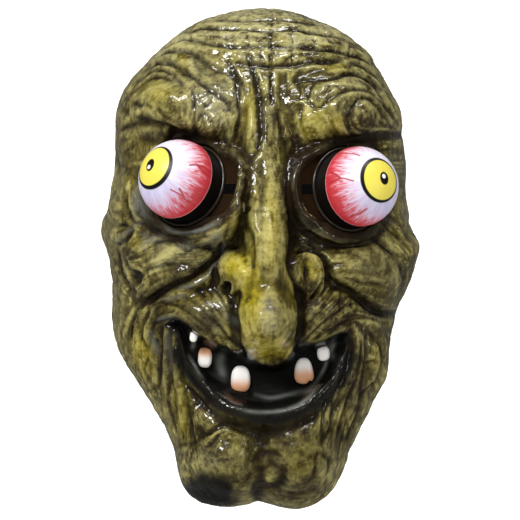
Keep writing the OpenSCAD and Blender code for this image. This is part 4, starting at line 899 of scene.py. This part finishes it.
def paintedLatex():
    # Moulded latex, sprayed olive, washed dark, dry-brushed pale and clear-varnished, with painted shade in hollows,
    # folds and sockets, painted light on the crown: soft mottled colour under a wet gloss that breaks up on wrinkles
    material, tree, shader, place = startMaterial("PaintedLatex")
    colours = {"olive": "#6d632b", "moss": "#382f12", "pale": "#b6ad69", "yellow": "#b5a51e", "grey": "#7d7a68",
               "bone": "#bab488", "wash": "#1c1405", "umberAndShade": "#21170a", "ink": "#0b0b09", "sheen": "#757972",
               "deepShade": "#1c1208"}
    # size in mm, detail, roughness and swirl of each pattern
    patterns = {"drift": (58.8, 3, 0.6, 0.6),      # how heavily it was sprayed
                "blotch": (20.833, 9, 0.72, 1.2),  # the sprayed coat, down to specks
                "mottle": (4.348, 6, 0.75, 0),     # sponge marks and finer
                "speck": (2.381, 3, 0.7, 0),       # specks of the sponge, where the wash stays in pores
                "dent": (3.03, 3, 0.6, 0),
                "pit": (1.111, 3, 0.6, 0),         # real pores are finer, and these are as coarse as they need to show
                "film": (3.333, 2, 0.5, 0)}        # ripples of the varnish
    for key, (size, detail, rough, swirl) in patterns.items():
        noise = addNode(tree, "ShaderNodeTexNoise", {"Vector": place, "Scale": 1 / (size * mm), "Detail": detail,
                                                     "Roughness": rough, "Distortion": swirl})
        patterns[key] = noise.outputs["Fac"]
    mask = {}
    for layer, keys in (("paintA", ("wash", "dry", "yellow")), ("paintB", ("grey", "umberAndShade", "ink")),
                        ("paintC", ("stroke", "paintedValleyShade", "pale")), ("paintD", ("varnish", "sheen", "deepShade"))):
        attribute = addNode(tree, "ShaderNodeAttribute", attribute_name=layer)
        channels = addNode(tree, "ShaderNodeSeparateColor", {"Color": attribute.outputs["Color"]}).outputs
        mask.update(zip(keys, (channels["Red"], channels["Green"], channels["Blue"])))
    brush = 0.0                                      # how the paint went on: strokes, blotches and sponge marks
    for pattern, share in ((mask["stroke"], 0.26), (patterns["blotch"], 0.36), (patterns["mottle"], 0.38)):
        brush = addNode(tree, "ShaderNodeMath", {0: pattern, 1: share, 2: brush}, operation="MULTIPLY_ADD").outputs[0]
    pores = addNode(tree, "ShaderNodeMapRange", {"Value": mask["dry"], "To Min": 1.0, "To Max": 0.4}).outputs["Result"]
    # coats in the order they go on: colour, where, the pattern that breaks it up, its range, and the amount at each end
    coats = [("olive", 1.0, brush, 0.38, 0.6, 0, 1),
             ("moss", 1.0, patterns["drift"], 0.42, 0.62, 0, 0.6),
             ("bone", mask["pale"], brush, 0.43, 0.61, 0, 1),
             ("yellow", mask["yellow"], brush, 0.33, 0.54, 0, 1),
             ("grey", mask["grey"], patterns["blotch"], 0.35, 0.6, 0, 1),
             ("pale", mask["dry"], brush, 0.44, 0.62, 0, 0.95),
             # painted shade in the broad hollows, in the wash colour
             ("wash", mask["paintedValleyShade"], brush, 0.4, 0.6, 0.95, 0.25),
             ("wash", mask["wash"], brush, 0.4, 0.6, 1.15, 0.55),
             # brown paint, and painted shade in the folds and round the sockets
             ("umberAndShade", mask["umberAndShade"], brush, 0.4, 0.6, 1, 0.5),
             ("wash", pores, patterns["speck"], 0.58, 0.68, 0, 0.75),
             ("ink", mask["ink"], 1.0, 0, 1, 0, 1),
             # painted shade in the deep folds and round the sockets
             ("deepShade", mask["deepShade"], 1.0, 0, 1, 0, 1),
             ("sheen", mask["sheen"], 1.0, 0, 1, 0, 1)]
    colour = paint(colours["moss"])
    for key, where, pattern, low, high, least, most in coats:
        share = addNode(tree, "ShaderNodeMapRange", {"Value": pattern, "From Min": low, "From Max": high,
                                                     "To Min": least, "To Max": most}).outputs["Result"]
        share = addNode(tree, "ShaderNodeMath", {0: where, 1: share}, operation="MULTIPLY", use_clamp=True).outputs[0]
        colour = addNode(tree, "ShaderNodeMix", {"Factor": share, "A": colour, "B": paint(colours[key])},
                         data_type="RGBA").outputs["Result"]
    tree.links.new(colour, shader.inputs["Base Color"])
    rough = addNode(tree, "ShaderNodeMapRange", {"Value": patterns["blotch"], "From Min": 0.3, "From Max": 0.7,
                                                 "To Min": 0.38, "To Max": 0.55})
    tree.links.new(rough.outputs["Result"], shader.inputs["Roughness"])
    tree.links.new(mask["varnish"], shader.inputs["Coat Weight"])
    shader.inputs["Specular IOR Level"].default_value = 0.12
    shader.inputs["IOR"].default_value = 1.5
    shader.inputs["Coat Roughness"].default_value = 0.05
    pitted = addNode(tree, "ShaderNodeMath", {0: patterns["pit"], 1: patterns["dent"]}, operation="ADD").outputs[0]
    for height, socket in ((pitted, "Normal"), (patterns["film"], "Coat Normal")):
        bump = addNode(tree, "ShaderNodeBump", {"Height": height, "Strength": 0.5, "Distance": 0.8 * mm})
        tree.links.new(bump.outputs["Normal"], shader.inputs[socket])
    return material


def plainMaterial(name, light, dark, patchMm, roughness, bumpMm=0.1, coat=0.0, metallic=0.0, gloss=0.5,
                  stretch=(1, 1, 1)):
    # two close tones in patches of that size, roughness that varies with them, and a fine bump
    material, tree, shader, place = startMaterial(name)
    moved = addNode(tree, "ShaderNodeMapping", {"Vector": place, "Scale": stretch}).outputs["Vector"]
    noise = addNode(tree, "ShaderNodeTexNoise", {"Vector": moved, "Scale": 1 / (patchMm * mm),
                                                 "Detail": 4.0}).outputs["Fac"]
    mixed = addNode(tree, "ShaderNodeMix", {"Factor": noise, "A": paint(dark), "B": paint(light)}, data_type="RGBA")
    tree.links.new(mixed.outputs["Result"], shader.inputs["Base Color"])
    rough = addNode(tree, "ShaderNodeMapRange", {"Value": noise, "To Min": roughness * 0.8, "To Max": roughness * 1.2})
    tree.links.new(rough.outputs["Result"], shader.inputs["Roughness"])
    shader.inputs["Metallic"].default_value = metallic
    shader.inputs["Specular IOR Level"].default_value = gloss
    shader.inputs["Coat Weight"].default_value = coat
    shader.inputs["Coat Roughness"].default_value = 0.08
    bump = addNode(tree, "ShaderNodeBump", {"Height": noise, "Strength": 0.6, "Distance": bumpMm * mm})
    tree.links.new(bump.outputs["Normal"], shader.inputs["Normal"])
    return material


def maskMaterial(name, colours, roughness, coat):
    # printed or painted: two tones in grains of 4 mm, then one colour over them for each channel of each layer
    material, tree, shader, place = startMaterial(name)
    grain = addNode(tree, "ShaderNodeTexNoise", {"Vector": place, "Scale": 1 / (3.846 * mm),
                                                 "Detail": 3.0}).outputs["Fac"]
    colour = addNode(tree, "ShaderNodeMix", {"Factor": grain, "A": paint(colours[0][0]), "B": paint(colours[0][1])},
                     data_type="RGBA").outputs["Result"]
    for layerName, rows in colours[1:]:
        layer = addNode(tree, "ShaderNodeAttribute", attribute_name=layerName)
        channels = addNode(tree, "ShaderNodeSeparateColor", {"Color": layer.outputs["Color"]}).outputs
        for channel, code in zip(("Red", "Green", "Blue"), rows):
            if code:
                colour = addNode(tree, "ShaderNodeMix", {"Factor": channels[channel], "A": colour, "B": paint(code)},
                                 data_type="RGBA").outputs["Result"]
    tree.links.new(colour, shader.inputs["Base Color"])
    rough = addNode(tree, "ShaderNodeMapRange", {"Value": grain, "To Min": roughness * 0.8, "To Max": roughness * 1.3})
    tree.links.new(rough.outputs["Result"], shader.inputs["Roughness"])
    shader.inputs["Coat Weight"].default_value = coat
    shader.inputs["Coat Roughness"].default_value = 0.06
    return material


# Eyeballs: half shells with a printed iris, red at the rim
eyeball = {
    "wall": 1.2, "lip": 0.35, "spin": 520, "rings": 150, "ringsInside": 14,
    "iris": 12.5, "ring": 1.5, "pupil": (2.9, 3.6), "glint": 1.2,
    "left": {"iris": (-3.2, 0.9), "yellow": (-0.6, 0.6), "pupil": (-4.6, 1.6), "glintAt": (-5.2, 0.4)},
    "right": {"iris": (0.8, 0.9), "yellow": (0.4, 0.0), "pupil": (2.1, 1.5), "glintAt": (1.9, 2.6)},
    # veins: degrees from the line of sight and degrees round it (0 towards the nose, 90 up), start to end
    "veins": {"left": [[(50, 12), (62, 14), (76, 12), (86, 8)], [(60, 14), (72, 6), (84, 2)],
                       [(40, -52), (52, -46), (62, -44)], [(48, -38), (56, -42), (64, -46), (74, -44)]],
              "right": [[(42, 2), (56, 8), (68, 6), (82, 2)], [(60, 8), (72, 16), (80, 18)],
                        [(50, 62), (62, 58), (72, 54)], [(46, -66), (58, -62), (70, -56)]]},
}


def addEyeball(side, material):
    # profile: quarter circle from the pole to the rim, a turned-in lip, then the inner quarter circle; spun round
    eye, plan, radius, spin = eyes[side], eyeball[side], eyePlan["radius"], eyeball["spin"]
    rings, inside, inner = eyeball["rings"], eyeball["ringsInside"], radius - eyeball["wall"]
    polar = np.concatenate([np.linspace(0.001, 90, rings), [90.0, 90.0], np.linspace(90, 0.001, inside)])
    sphere = np.concatenate([np.full(rings, radius), [radius - eyeball["lip"], inner], np.full(inside, inner)])
    theta, phi = np.meshgrid(np.radians(polar), np.linspace(0, 2 * np.pi, spin, endpoint=False), indexing="ij")
    nasal, up, sight = eye["nasal"], eye["up"], eye["sight"]
    across, rise = np.sin(theta) * np.cos(phi), np.sin(theta) * np.sin(phi)
    direction = across[..., None] * nasal + rise[..., None] * up + np.cos(theta)[..., None] * sight
    p = eye["centre"] + sphere[:, None, None] * direction
    # the printed pattern, in mm across and up as seen along the line of sight, +X to the right
    px, pz = radius * across * -eye["sign"], radius * rise
    soft = lambda edge, d: ease(edge + 0.2, edge - 0.2, d)
    disc = lambda spot, r: soft(r, np.hypot(px - spot[0], pz - spot[1]))
    black = disc(plan["iris"], eyeball["iris"])
    yellow = disc(np.add(plan["iris"], plan["yellow"]), eyeball["iris"] - eyeball["ring"])
    wide, tall = eyeball["pupil"]
    pupil = ease(1.06, 0.94, np.hypot((px - plan["pupil"][0]) / wide, (pz - plan["pupil"][1]) / tall))
    glint = disc(plan["glintAt"], eyeball["glint"])
    degrees = np.degrees(theta)
    spokes = np.stack([np.cos(phi) * 60, np.sin(phi) * 60, degrees * 0.16], -1)
    streak = 0.6 * latticeNoise(spokes, 2.4, 5) + 0.8 * latticeNoise(spokes, 0.9, 9)
    tide = 12 * np.cos(phi) - 5 * np.sin(phi) - 2       # deepest towards the nose and below
    red = ease(44, 92, degrees + 17 * streak * ease(100, 62, degrees) + tide)
    deep = ease(60, 96, degrees + 18 * streak + tide) * 0.9
    veins = np.zeros(red.shape)
    for line in eyeball["veins"][side]:
        bend = smoothLine(line)
        d, along = nearLine(degrees, (np.degrees(phi) + 180) % 360 - 180, bend)
        veins = np.maximum(veins, ease(2.2, 0.7, d) * (1 - 0.3 * along))
    # violet-grey painted shade on the lower half, with random patches of the tint
    lilac = 0.55 * ease(0.5, -0.9, pz / radius) + 0.35 * (0.5 + 0.5 * latticeNoise(spokes, 9, 12))
    off = 1 - black
    maskA = np.stack([np.clip(lilac, 0, 1), red * off, np.clip(deep, 0, 1) * off], -1).reshape(-1, 3)
    maskB = np.stack([black, yellow, pupil], -1).reshape(-1, 3)
    # a pale pink line along the rim: painted highlight
    maskC = np.stack([glint, 0.7 * ease(88.2, 89.3, degrees), veins * off], -1).reshape(-1, 3)
    masks = {"tintA": maskA, "tintB": maskB, "tintC": maskC}
    piece = makePiece("eyeball_shell_" + side, p.reshape(-1, 3), [gridFaces(len(polar), spin, wrap=True)],
                      "eye_" + side, material, masks=masks)
    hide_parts("eyeball_" + side)


# Coils: one flat strip wound on itself
coil = {"turns": 13, "inside": 17.5, "outside": 21.6, "thick": 0.62, "steps": 90}


def addCoil(side, material):
    # section: rectangle, strip width by thickness; path: a screw of that many turns from foot to eyeball
    eye = eyes[side]
    count = coil["turns"] * coil["steps"] + 1
    t = np.linspace(0, 1, count)
    angle = 2 * np.pi * coil["turns"] * t
    lift = t * (eyePlan["coilHeight"] - coil["thick"] - 0.1) + 0.05
    a, b, h = coil["inside"], coil["outside"], coil["thick"]
    section = np.array([(a, 0), (b - 0.1, 0), (b, 0.1), (b, h - 0.1), (b - 0.1, h), (a, h)])
    r = section[:, 0][None, :]
    z = lift[:, None] + section[:, 1][None, :]
    spoke = np.cos(angle)[:, None, None] * eye["across"] + np.sin(angle)[:, None, None] * eye["up"]
    p = eye["foot"] + r[..., None] * spoke + z[..., None] * eye["sight"]
    faces = gridFaces(count, len(section), wrap=True)
    if np.dot(np.cross(eye["across"], eye["up"]), eye["sight"]) > 0:
        faces = faces[:, ::-1]
    ends = np.array([[0, 1, 4, 5], [1, 2, 3, 4]])
    last = (count - 1) * len(section)
    piece = makePiece("flat_coil_" + side, p.reshape(-1, 3), [faces, ends, ends[:, ::-1] + last], None,
                      material, shade=False)
    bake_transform(piece)
    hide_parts("eye_coil_" + side)


# Collar bead: the rolled lip of the plate where the coil stands
bead = {"radius": 22.75, "tube": 0.75, "lift": 1.5}


def addBead(side, material):  # a thin ring, circle carried round a circle
    eye = eyes[side]
    u, v = np.meshgrid(np.linspace(0, 2 * np.pi, 120, endpoint=False), np.linspace(0, 2 * np.pi, 13), indexing="ij")
    r = bead["radius"] + bead["tube"] * np.cos(v)
    p = (eye["foot"] + (r * np.cos(u))[..., None] * eye["across"] + (r * np.sin(u))[..., None] * eye["up"]
         + (bead["lift"] + bead["tube"] * np.sin(v))[..., None] * eye["sight"])
    p = p[:, :-1]
    ring = np.arange(p.shape[0] * p.shape[1]).reshape(p.shape[:2])
    a, b = ring, np.roll(ring, -1, 0)
    faces = np.stack([np.roll(a, -1, 1), np.roll(b, -1, 1), b, a], -1).reshape(-1, 4)
    makePiece("collar_bead_" + side, p.reshape(-1, 3), [faces], "mask", material)


# Teeth: x, z, width, height, lean in degrees, share of the height that is orange, orange end (1 top, -1 tip)
teeth = {"depth": 6.0, "chipped": 3,
         "rows": [(-40.9, -82.5, 4.4, 7.2, 10, 0.0, 1), (-35.2, -94.7, 7.8, 11.6, 4, 0.45, 1),
                                (-15.6, -106.1, 10.8, 14.8, 0, 0.4, -1), (19.9, -101.6, 10.4, 14.8, -3, 0.62, -1),
                                (30.4, -92.6, 7.2, 8.4, -8, 0.0, 1)]}


def addTeeth(p, sx, sz, material):
    # each is a ball drawn out to width, depth and height, squarer than an ellipsoid, its back in the gum
    for k, (x, z, wide, tall, leanBy, share, end) in enumerate(teeth["rows"]):
        here = np.unravel_index(np.argmin((sx - x) ** 2 + (sz - z) ** 2), sx.shape)
        seat, chipped = p[here], k == teeth["chipped"]
        u, v = np.meshgrid(np.linspace(0, 2 * np.pi, 72, endpoint=False), np.linspace(0.02, np.pi - 0.02, 48),
                           indexing="ij")
        bend = lambda s, e: np.sign(s) * np.abs(s) ** e
        lx = bend(np.cos(u), 0.75) * bend(np.sin(v), 0.75)
        lz = bend(np.sin(u), 0.8) * bend(np.sin(v), 0.75)
        ly = -bend(np.cos(v), 0.9)
        if end < 0:   # long teeth narrow upwards
            lx = lx * (1 - (0.22 if chipped else 0.08) * lz)
        if chipped:   # a chip in the lower edge
            lz = lz + 0.16 * bell((lx - 0.55) / 0.2) * ease(-0.3, -0.9, lz)
        gx, gz = lx * wide / 2, lz * tall / 2
        gy = ly * teeth["depth"] / 2 * np.where(ly > 0, 0.4, 1)    # the back stays within the wall
        c, s = np.cos(np.radians(leanBy)), np.sin(np.radians(leanBy))
        body = np.stack([seat[0] + gx * c + gz * s, seat[1] - 0.6 + gy, seat[2] - gx * s + gz * c], -1)
        gold = ease(-0.35, 0.55, lz * end + (share - 0.5)) * (share > 0)
        # painted shade at the back, where the tooth goes into the gum
        rim = ease(0.25, -0.5, -ly)
        masks = {"tintA": np.stack([0.9 * gold, 0 * gold, rim], -1).reshape(-1, 3)}
        rows, columns = u.shape
        grid = np.arange(rows * columns).reshape(rows, columns)
        a, b = grid[:, :-1], np.roll(grid, -1, 0)[:, :-1]
        faces = np.stack([a, b, b + 1, a + 1], -1).reshape(-1, 4)
        fan = np.ones(rows - 2, int)
        caps = [np.stack([grid[0, 0] * fan, grid[2:, 0], grid[1:-1, 0]], -1),
                np.stack([grid[0, -1] * fan, grid[1:-1, -1], grid[2:, -1]], -1)]
        piece = makePiece(f"tooth_cap_{k + 1}", body.reshape(-1, 3), [faces, *caps], "mask", material,
                          masks=masks)
        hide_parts(f"tooth_{k + 1}")


# Strap: woven elastic with ribs along it, the same path as the CAD band
strap = {"halfOut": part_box("head_strap")[1][0] / mm, "thick": 1.6, "width": 20.0, "back": 125.0, "bend": 45.0,
         "rivetY": -10.0, "ribs": 12}


def addStrap(material):
    # section: two ribbed faces and two edges; path: straight, quarter circle, straight, quarter circle, straight
    mid = strap["halfOut"] - strap["thick"] / 2
    bendMid, bendY = strap["bend"] - strap["thick"] / 2, strap["back"] - strap["bend"]
    tip = strap["rivetY"] - strap["width"] / 2
    roundEnd = tip + strap["width"] / 2 * (1 - np.cos(np.linspace(0.05, np.pi / 2, 14)))
    straight = np.concatenate([roundEnd, np.linspace(tip + 12, bendY, 40)])
    arc = np.linspace(0, np.pi / 2, 26)[1:-1]
    half = np.concatenate([np.stack([np.full(len(straight), -mid), straight], -1),
                           np.stack([-mid + bendMid * (1 - np.cos(arc)), bendY + bendMid * np.sin(arc)], -1),
                           np.stack([np.linspace(-mid + bendMid, 0, 24), np.full(24, bendY + bendMid)], -1)])
    path = np.concatenate([half, (half * [-1, 1])[-2::-1]])
    along = unit(np.gradient(path, axis=0))
    outward = np.stack([-along[:, 1], along[:, 0]], -1)
    endGap = np.minimum(path[:, 1] - tip, strap["width"] / 2)
    halfWide = np.sqrt(np.maximum(strap["width"] ** 2 / 4 - (strap["width"] / 2 - endGap) ** 2, 0.05))
    w = np.linspace(-1, 1, 97)
    ribs = 0.16 * (np.abs(np.sin(w * np.pi * strap["ribs"] / 2)) ** 0.7 - 1)
    taper = np.minimum(1, (1 - np.abs(w)) * 10 + 0.35)
    depth = (strap["thick"] / 2 + ribs) * taper
    section = np.concatenate([np.stack([w, depth], -1), np.stack([w[::-1], -depth[::-1]], -1)])
    flat = path[:, None, :] + outward[:, None, :] * section[None, :, 1:]
    p = np.concatenate([flat, (halfWide[:, None] * section[None, :, 0])[..., None]], -1)
    faces = gridFaces(len(path), len(section), wrap=True)
    n = len(section)
    cap = np.stack([np.arange(0, n // 2 - 1), np.arange(1, n // 2), n - 2 - np.arange(0, n // 2 - 1),
                    n - 1 - np.arange(0, n // 2 - 1)], -1)
    piece = makePiece("woven_elastic", p.reshape(-1, 3), [faces, cap[:, ::-1], cap + (len(path) - 1) * n],
                      "strap", material)
    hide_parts("head_strap")


# cast latex left bare inside: dull, warm and a little blotchy
inside = plainMaterial("RawLatexInside", "#b9a878", "#8f7f55", 16.67, 0.62, bumpMm=0.4)
# polystyrene printed in colours: white, red wash, black and yellow iris; painted violet shade below, painted highlight
# at the rim
eyePaint = maskMaterial("PrintedEyeball", [("#eae6f0", "#dedaea"), ("tintA", ("#b3aed2", "#d44e56", "#b8232f")),
                                           ("tintB", ("#0b0d09", "#e2d352", "#090a08")),
                                           ("tintC", ("#ffffff", "#e9b3b0", "#9c1f2a"))], 0.4, 0.0)
# latex painted off-white and orange at one end, with painted shade where it enters the gum
toothPaint = maskMaterial("ToothPaint", [("#fdfaf6", "#f4efe8"), ("tintA", ("#e3a06a", "", "#2a2a26"))], 0.25, 0.5)
# moulded polyethylene and polystyrene: dark, soft-edged highlights
coilPlastic = plainMaterial("CoilPlastic", "#140c07", "#0a0603", 8.333, 0.5, gloss=0.12)
brownPlastic = plainMaterial("MouldedBrownPlastic", "#2a1b0c", "#1a1007", 6.667, 0.6, gloss=0.03)
beadPlastic = plainMaterial("WornCollarEdge", "#352e26", "#120d08", 11.11, 0.3, coat=0.35)   # lighter than the plate: painted highlight along the lip
blackPlastic = plainMaterial("MouldedBlackPlastic", "#1c1a19", "#121110", 4.545, 0.5)
# drawn steel: bright, with marks along the pin
rivetSteel = plainMaterial("RivetSteel", "#b5b5b2", "#8b8b88", 3.333, 0.3, metallic=1.0, stretch=(1, 1, 8))
# calendered rubber sheet: matt and even
patchRubber = plainMaterial("RubberPatch", "#c0aa7a", "#9a8355", 5.556, 0.7, bumpMm=0.3)
# woven polyester over rubber: matt black with a 1.1 mm weave, coarser than the real threads so that it shows
elastic = plainMaterial("WovenElastic", "#0b0b0b", "#040404", 1.111, 0.9, gloss=0.04, bumpMm=0.3, stretch=(1, 1, 3))
skinPoints, skinX, skinZ = addSkin(paintedLatex(), inside)
for side in eyes:
    addEyeball(side, eyePaint)
    addCoil(side, coilPlastic)
    addBead(side, beadPlastic)
addTeeth(skinPoints, skinX, skinZ, toothPaint)
addStrap(elastic)
nodeMaterials = {"eye_mount": brownPlastic, "coil_hub": blackPlastic, "hub_rivet": rivetSteel,
                 "eyeball_back": blackPlastic, "strap_patch": patchRubber, "strap_rivet": rivetSteel,
                 "strap_washer": rivetSteel}
for name, node in frame["nodes"].items():
    for start, material in nodeMaterials.items():
        if name.startswith(start):
            node.data.materials.clear()
            node.data.materials.append(material)
print("materials on")

# Stage, in metres
stage = {"floorZ": -0.30, "wallY": 0.9, "bend": 0.5, "half": 3.0}


def addStage():
    # floor that curves up into a wall, along a quarter circle
    s = np.linspace(0, 1, 40)
    wall, floorZ, bend, half = stage["wallY"], stage["floorZ"], stage["bend"], stage["half"]
    y = np.concatenate([[-half], wall - bend + bend * np.sin(s * np.pi / 2), [wall]])
    z = np.concatenate([[floorZ], floorZ + bend * (1 - np.cos(s * np.pi / 2)), [half]])
    x = np.array([-half, half])
    p = np.stack([np.broadcast_to(x[None, :], (len(y), 2)), np.broadcast_to(y[:, None], (len(y), 2)),
                  np.broadcast_to(z[:, None], (len(y), 2))], -1)
    # matt paper, a little brighter to the camera than the lamps make it
    material, tree, shader, _ = startMaterial("PaperBackdrop")
    shader.inputs["Base Color"].default_value = paint("#f2f1ef")
    shader.inputs["Roughness"].default_value = 0.9
    shader.inputs["Specular IOR Level"].default_value = 0.1
    rays = addNode(tree, "ShaderNodeLightPath")
    glow = addNode(tree, "ShaderNodeEmission", {"Color": (1, 1, 1, 1)})
    lift = addNode(tree, "ShaderNodeMath", {0: rays.outputs["Is Camera Ray"], 1: 0.5}, operation="MULTIPLY").outputs[0]
    tree.links.new(lift, glow.inputs["Strength"])
    both = addNode(tree, "ShaderNodeAddShader", {0: shader.outputs["BSDF"], 1: glow.outputs["Emission"]})
    dim = addNode(tree, "ShaderNodeEmission", {"Color": (1, 1, 1, 1), "Strength": 0.11})  # what the varnish mirrors
    seen = addNode(tree, "ShaderNodeMixShader", {0: rays.outputs["Is Glossy Ray"], 1: both.outputs[0],
                                                 2: dim.outputs["Emission"]})
    # seen from behind it is clear, so that the object's back can be looked at
    clearPaper = addNode(tree, "ShaderNodeBsdfTransparent")
    reverse = addNode(tree, "ShaderNodeNewGeometry").outputs["Backfacing"]
    oneSided = addNode(tree, "ShaderNodeMixShader", {0: reverse, 1: seen.outputs[0], 2: clearPaper.outputs[0]})
    tree.links.new(oneSided.outputs[0], tree.nodes["Material Output"].inputs["Surface"])
    mesh = bpy.data.meshes.new("backdrop")
    mesh.from_pydata([tuple(v) for v in p.reshape(-1, 3)], [], gridFaces(len(y), 2).tolist())
    mesh.materials.append(material)
    floor = bpy.data.objects.new("backdrop", mesh)
    bpy.context.scene.collection.objects.link(floor)


lookAt = (0, -0.05, -0.03)
lamps = {"window": ((-1.0, -1.3, 1.1), (0.5, 0.5), 28), "ceiling": ((0.25, -0.7, 1.5), (0.9, 0.25), 14),
         "lowWindow": ((1.3, -1.3, 0.1), (0.15, 0.7), 3)}     # place, size, watts


def addLamp(name, place, size, watts):  # a flat panel turned towards the face
    lamp = bpy.data.lights.new(name, "AREA")
    lamp.shape, lamp.size, lamp.size_y, lamp.energy = "RECTANGLE", size[0], size[1], watts
    obj = bpy.data.objects.new(name, lamp)
    obj.location = place
    aim = np.array(lookAt) - place
    obj.rotation_euler = mathutils.Vector(aim).to_track_quat("-Z", "Y").to_euler()
    bpy.context.scene.collection.objects.link(obj)


addStage()
world = bpy.data.worlds.new("studio")
bpy.context.scene.world = world
world.use_nodes = True
worldTree = world.node_tree
worldTree.nodes["Background"].inputs["Color"].default_value = (1, 1, 1, 1)
worldRays = addNode(worldTree, "ShaderNodeLightPath")
worldLevel = addNode(worldTree, "ShaderNodeMapRange", {"Value": worldRays.outputs["Is Glossy Ray"], "To Min": 0.4,
                                                       "To Max": 0.02})
worldTree.links.new(worldLevel.outputs["Result"], worldTree.nodes["Background"].inputs["Strength"])
for name, values in lamps.items():
    addLamp(name, *values)

view = bpy.data.cameras.new("front")
view.sensor_width, view.lens = 36.0, 36.0 * viewer["far"] / viewer["wide"]
camera = bpy.data.objects.new("front", view)
angle, far = np.radians(viewer["turn"]), viewer["far"] * mm
camera.location = (-far * np.sin(angle), -far * np.cos(angle), viewer["up"] * mm)
camera.rotation_euler = (np.pi / 2, 0, -angle)
bpy.context.scene.collection.objects.link(camera)
bpy.context.scene.camera = camera
bpy.context.scene.view_settings.view_transform = "Standard"
print("stage set")
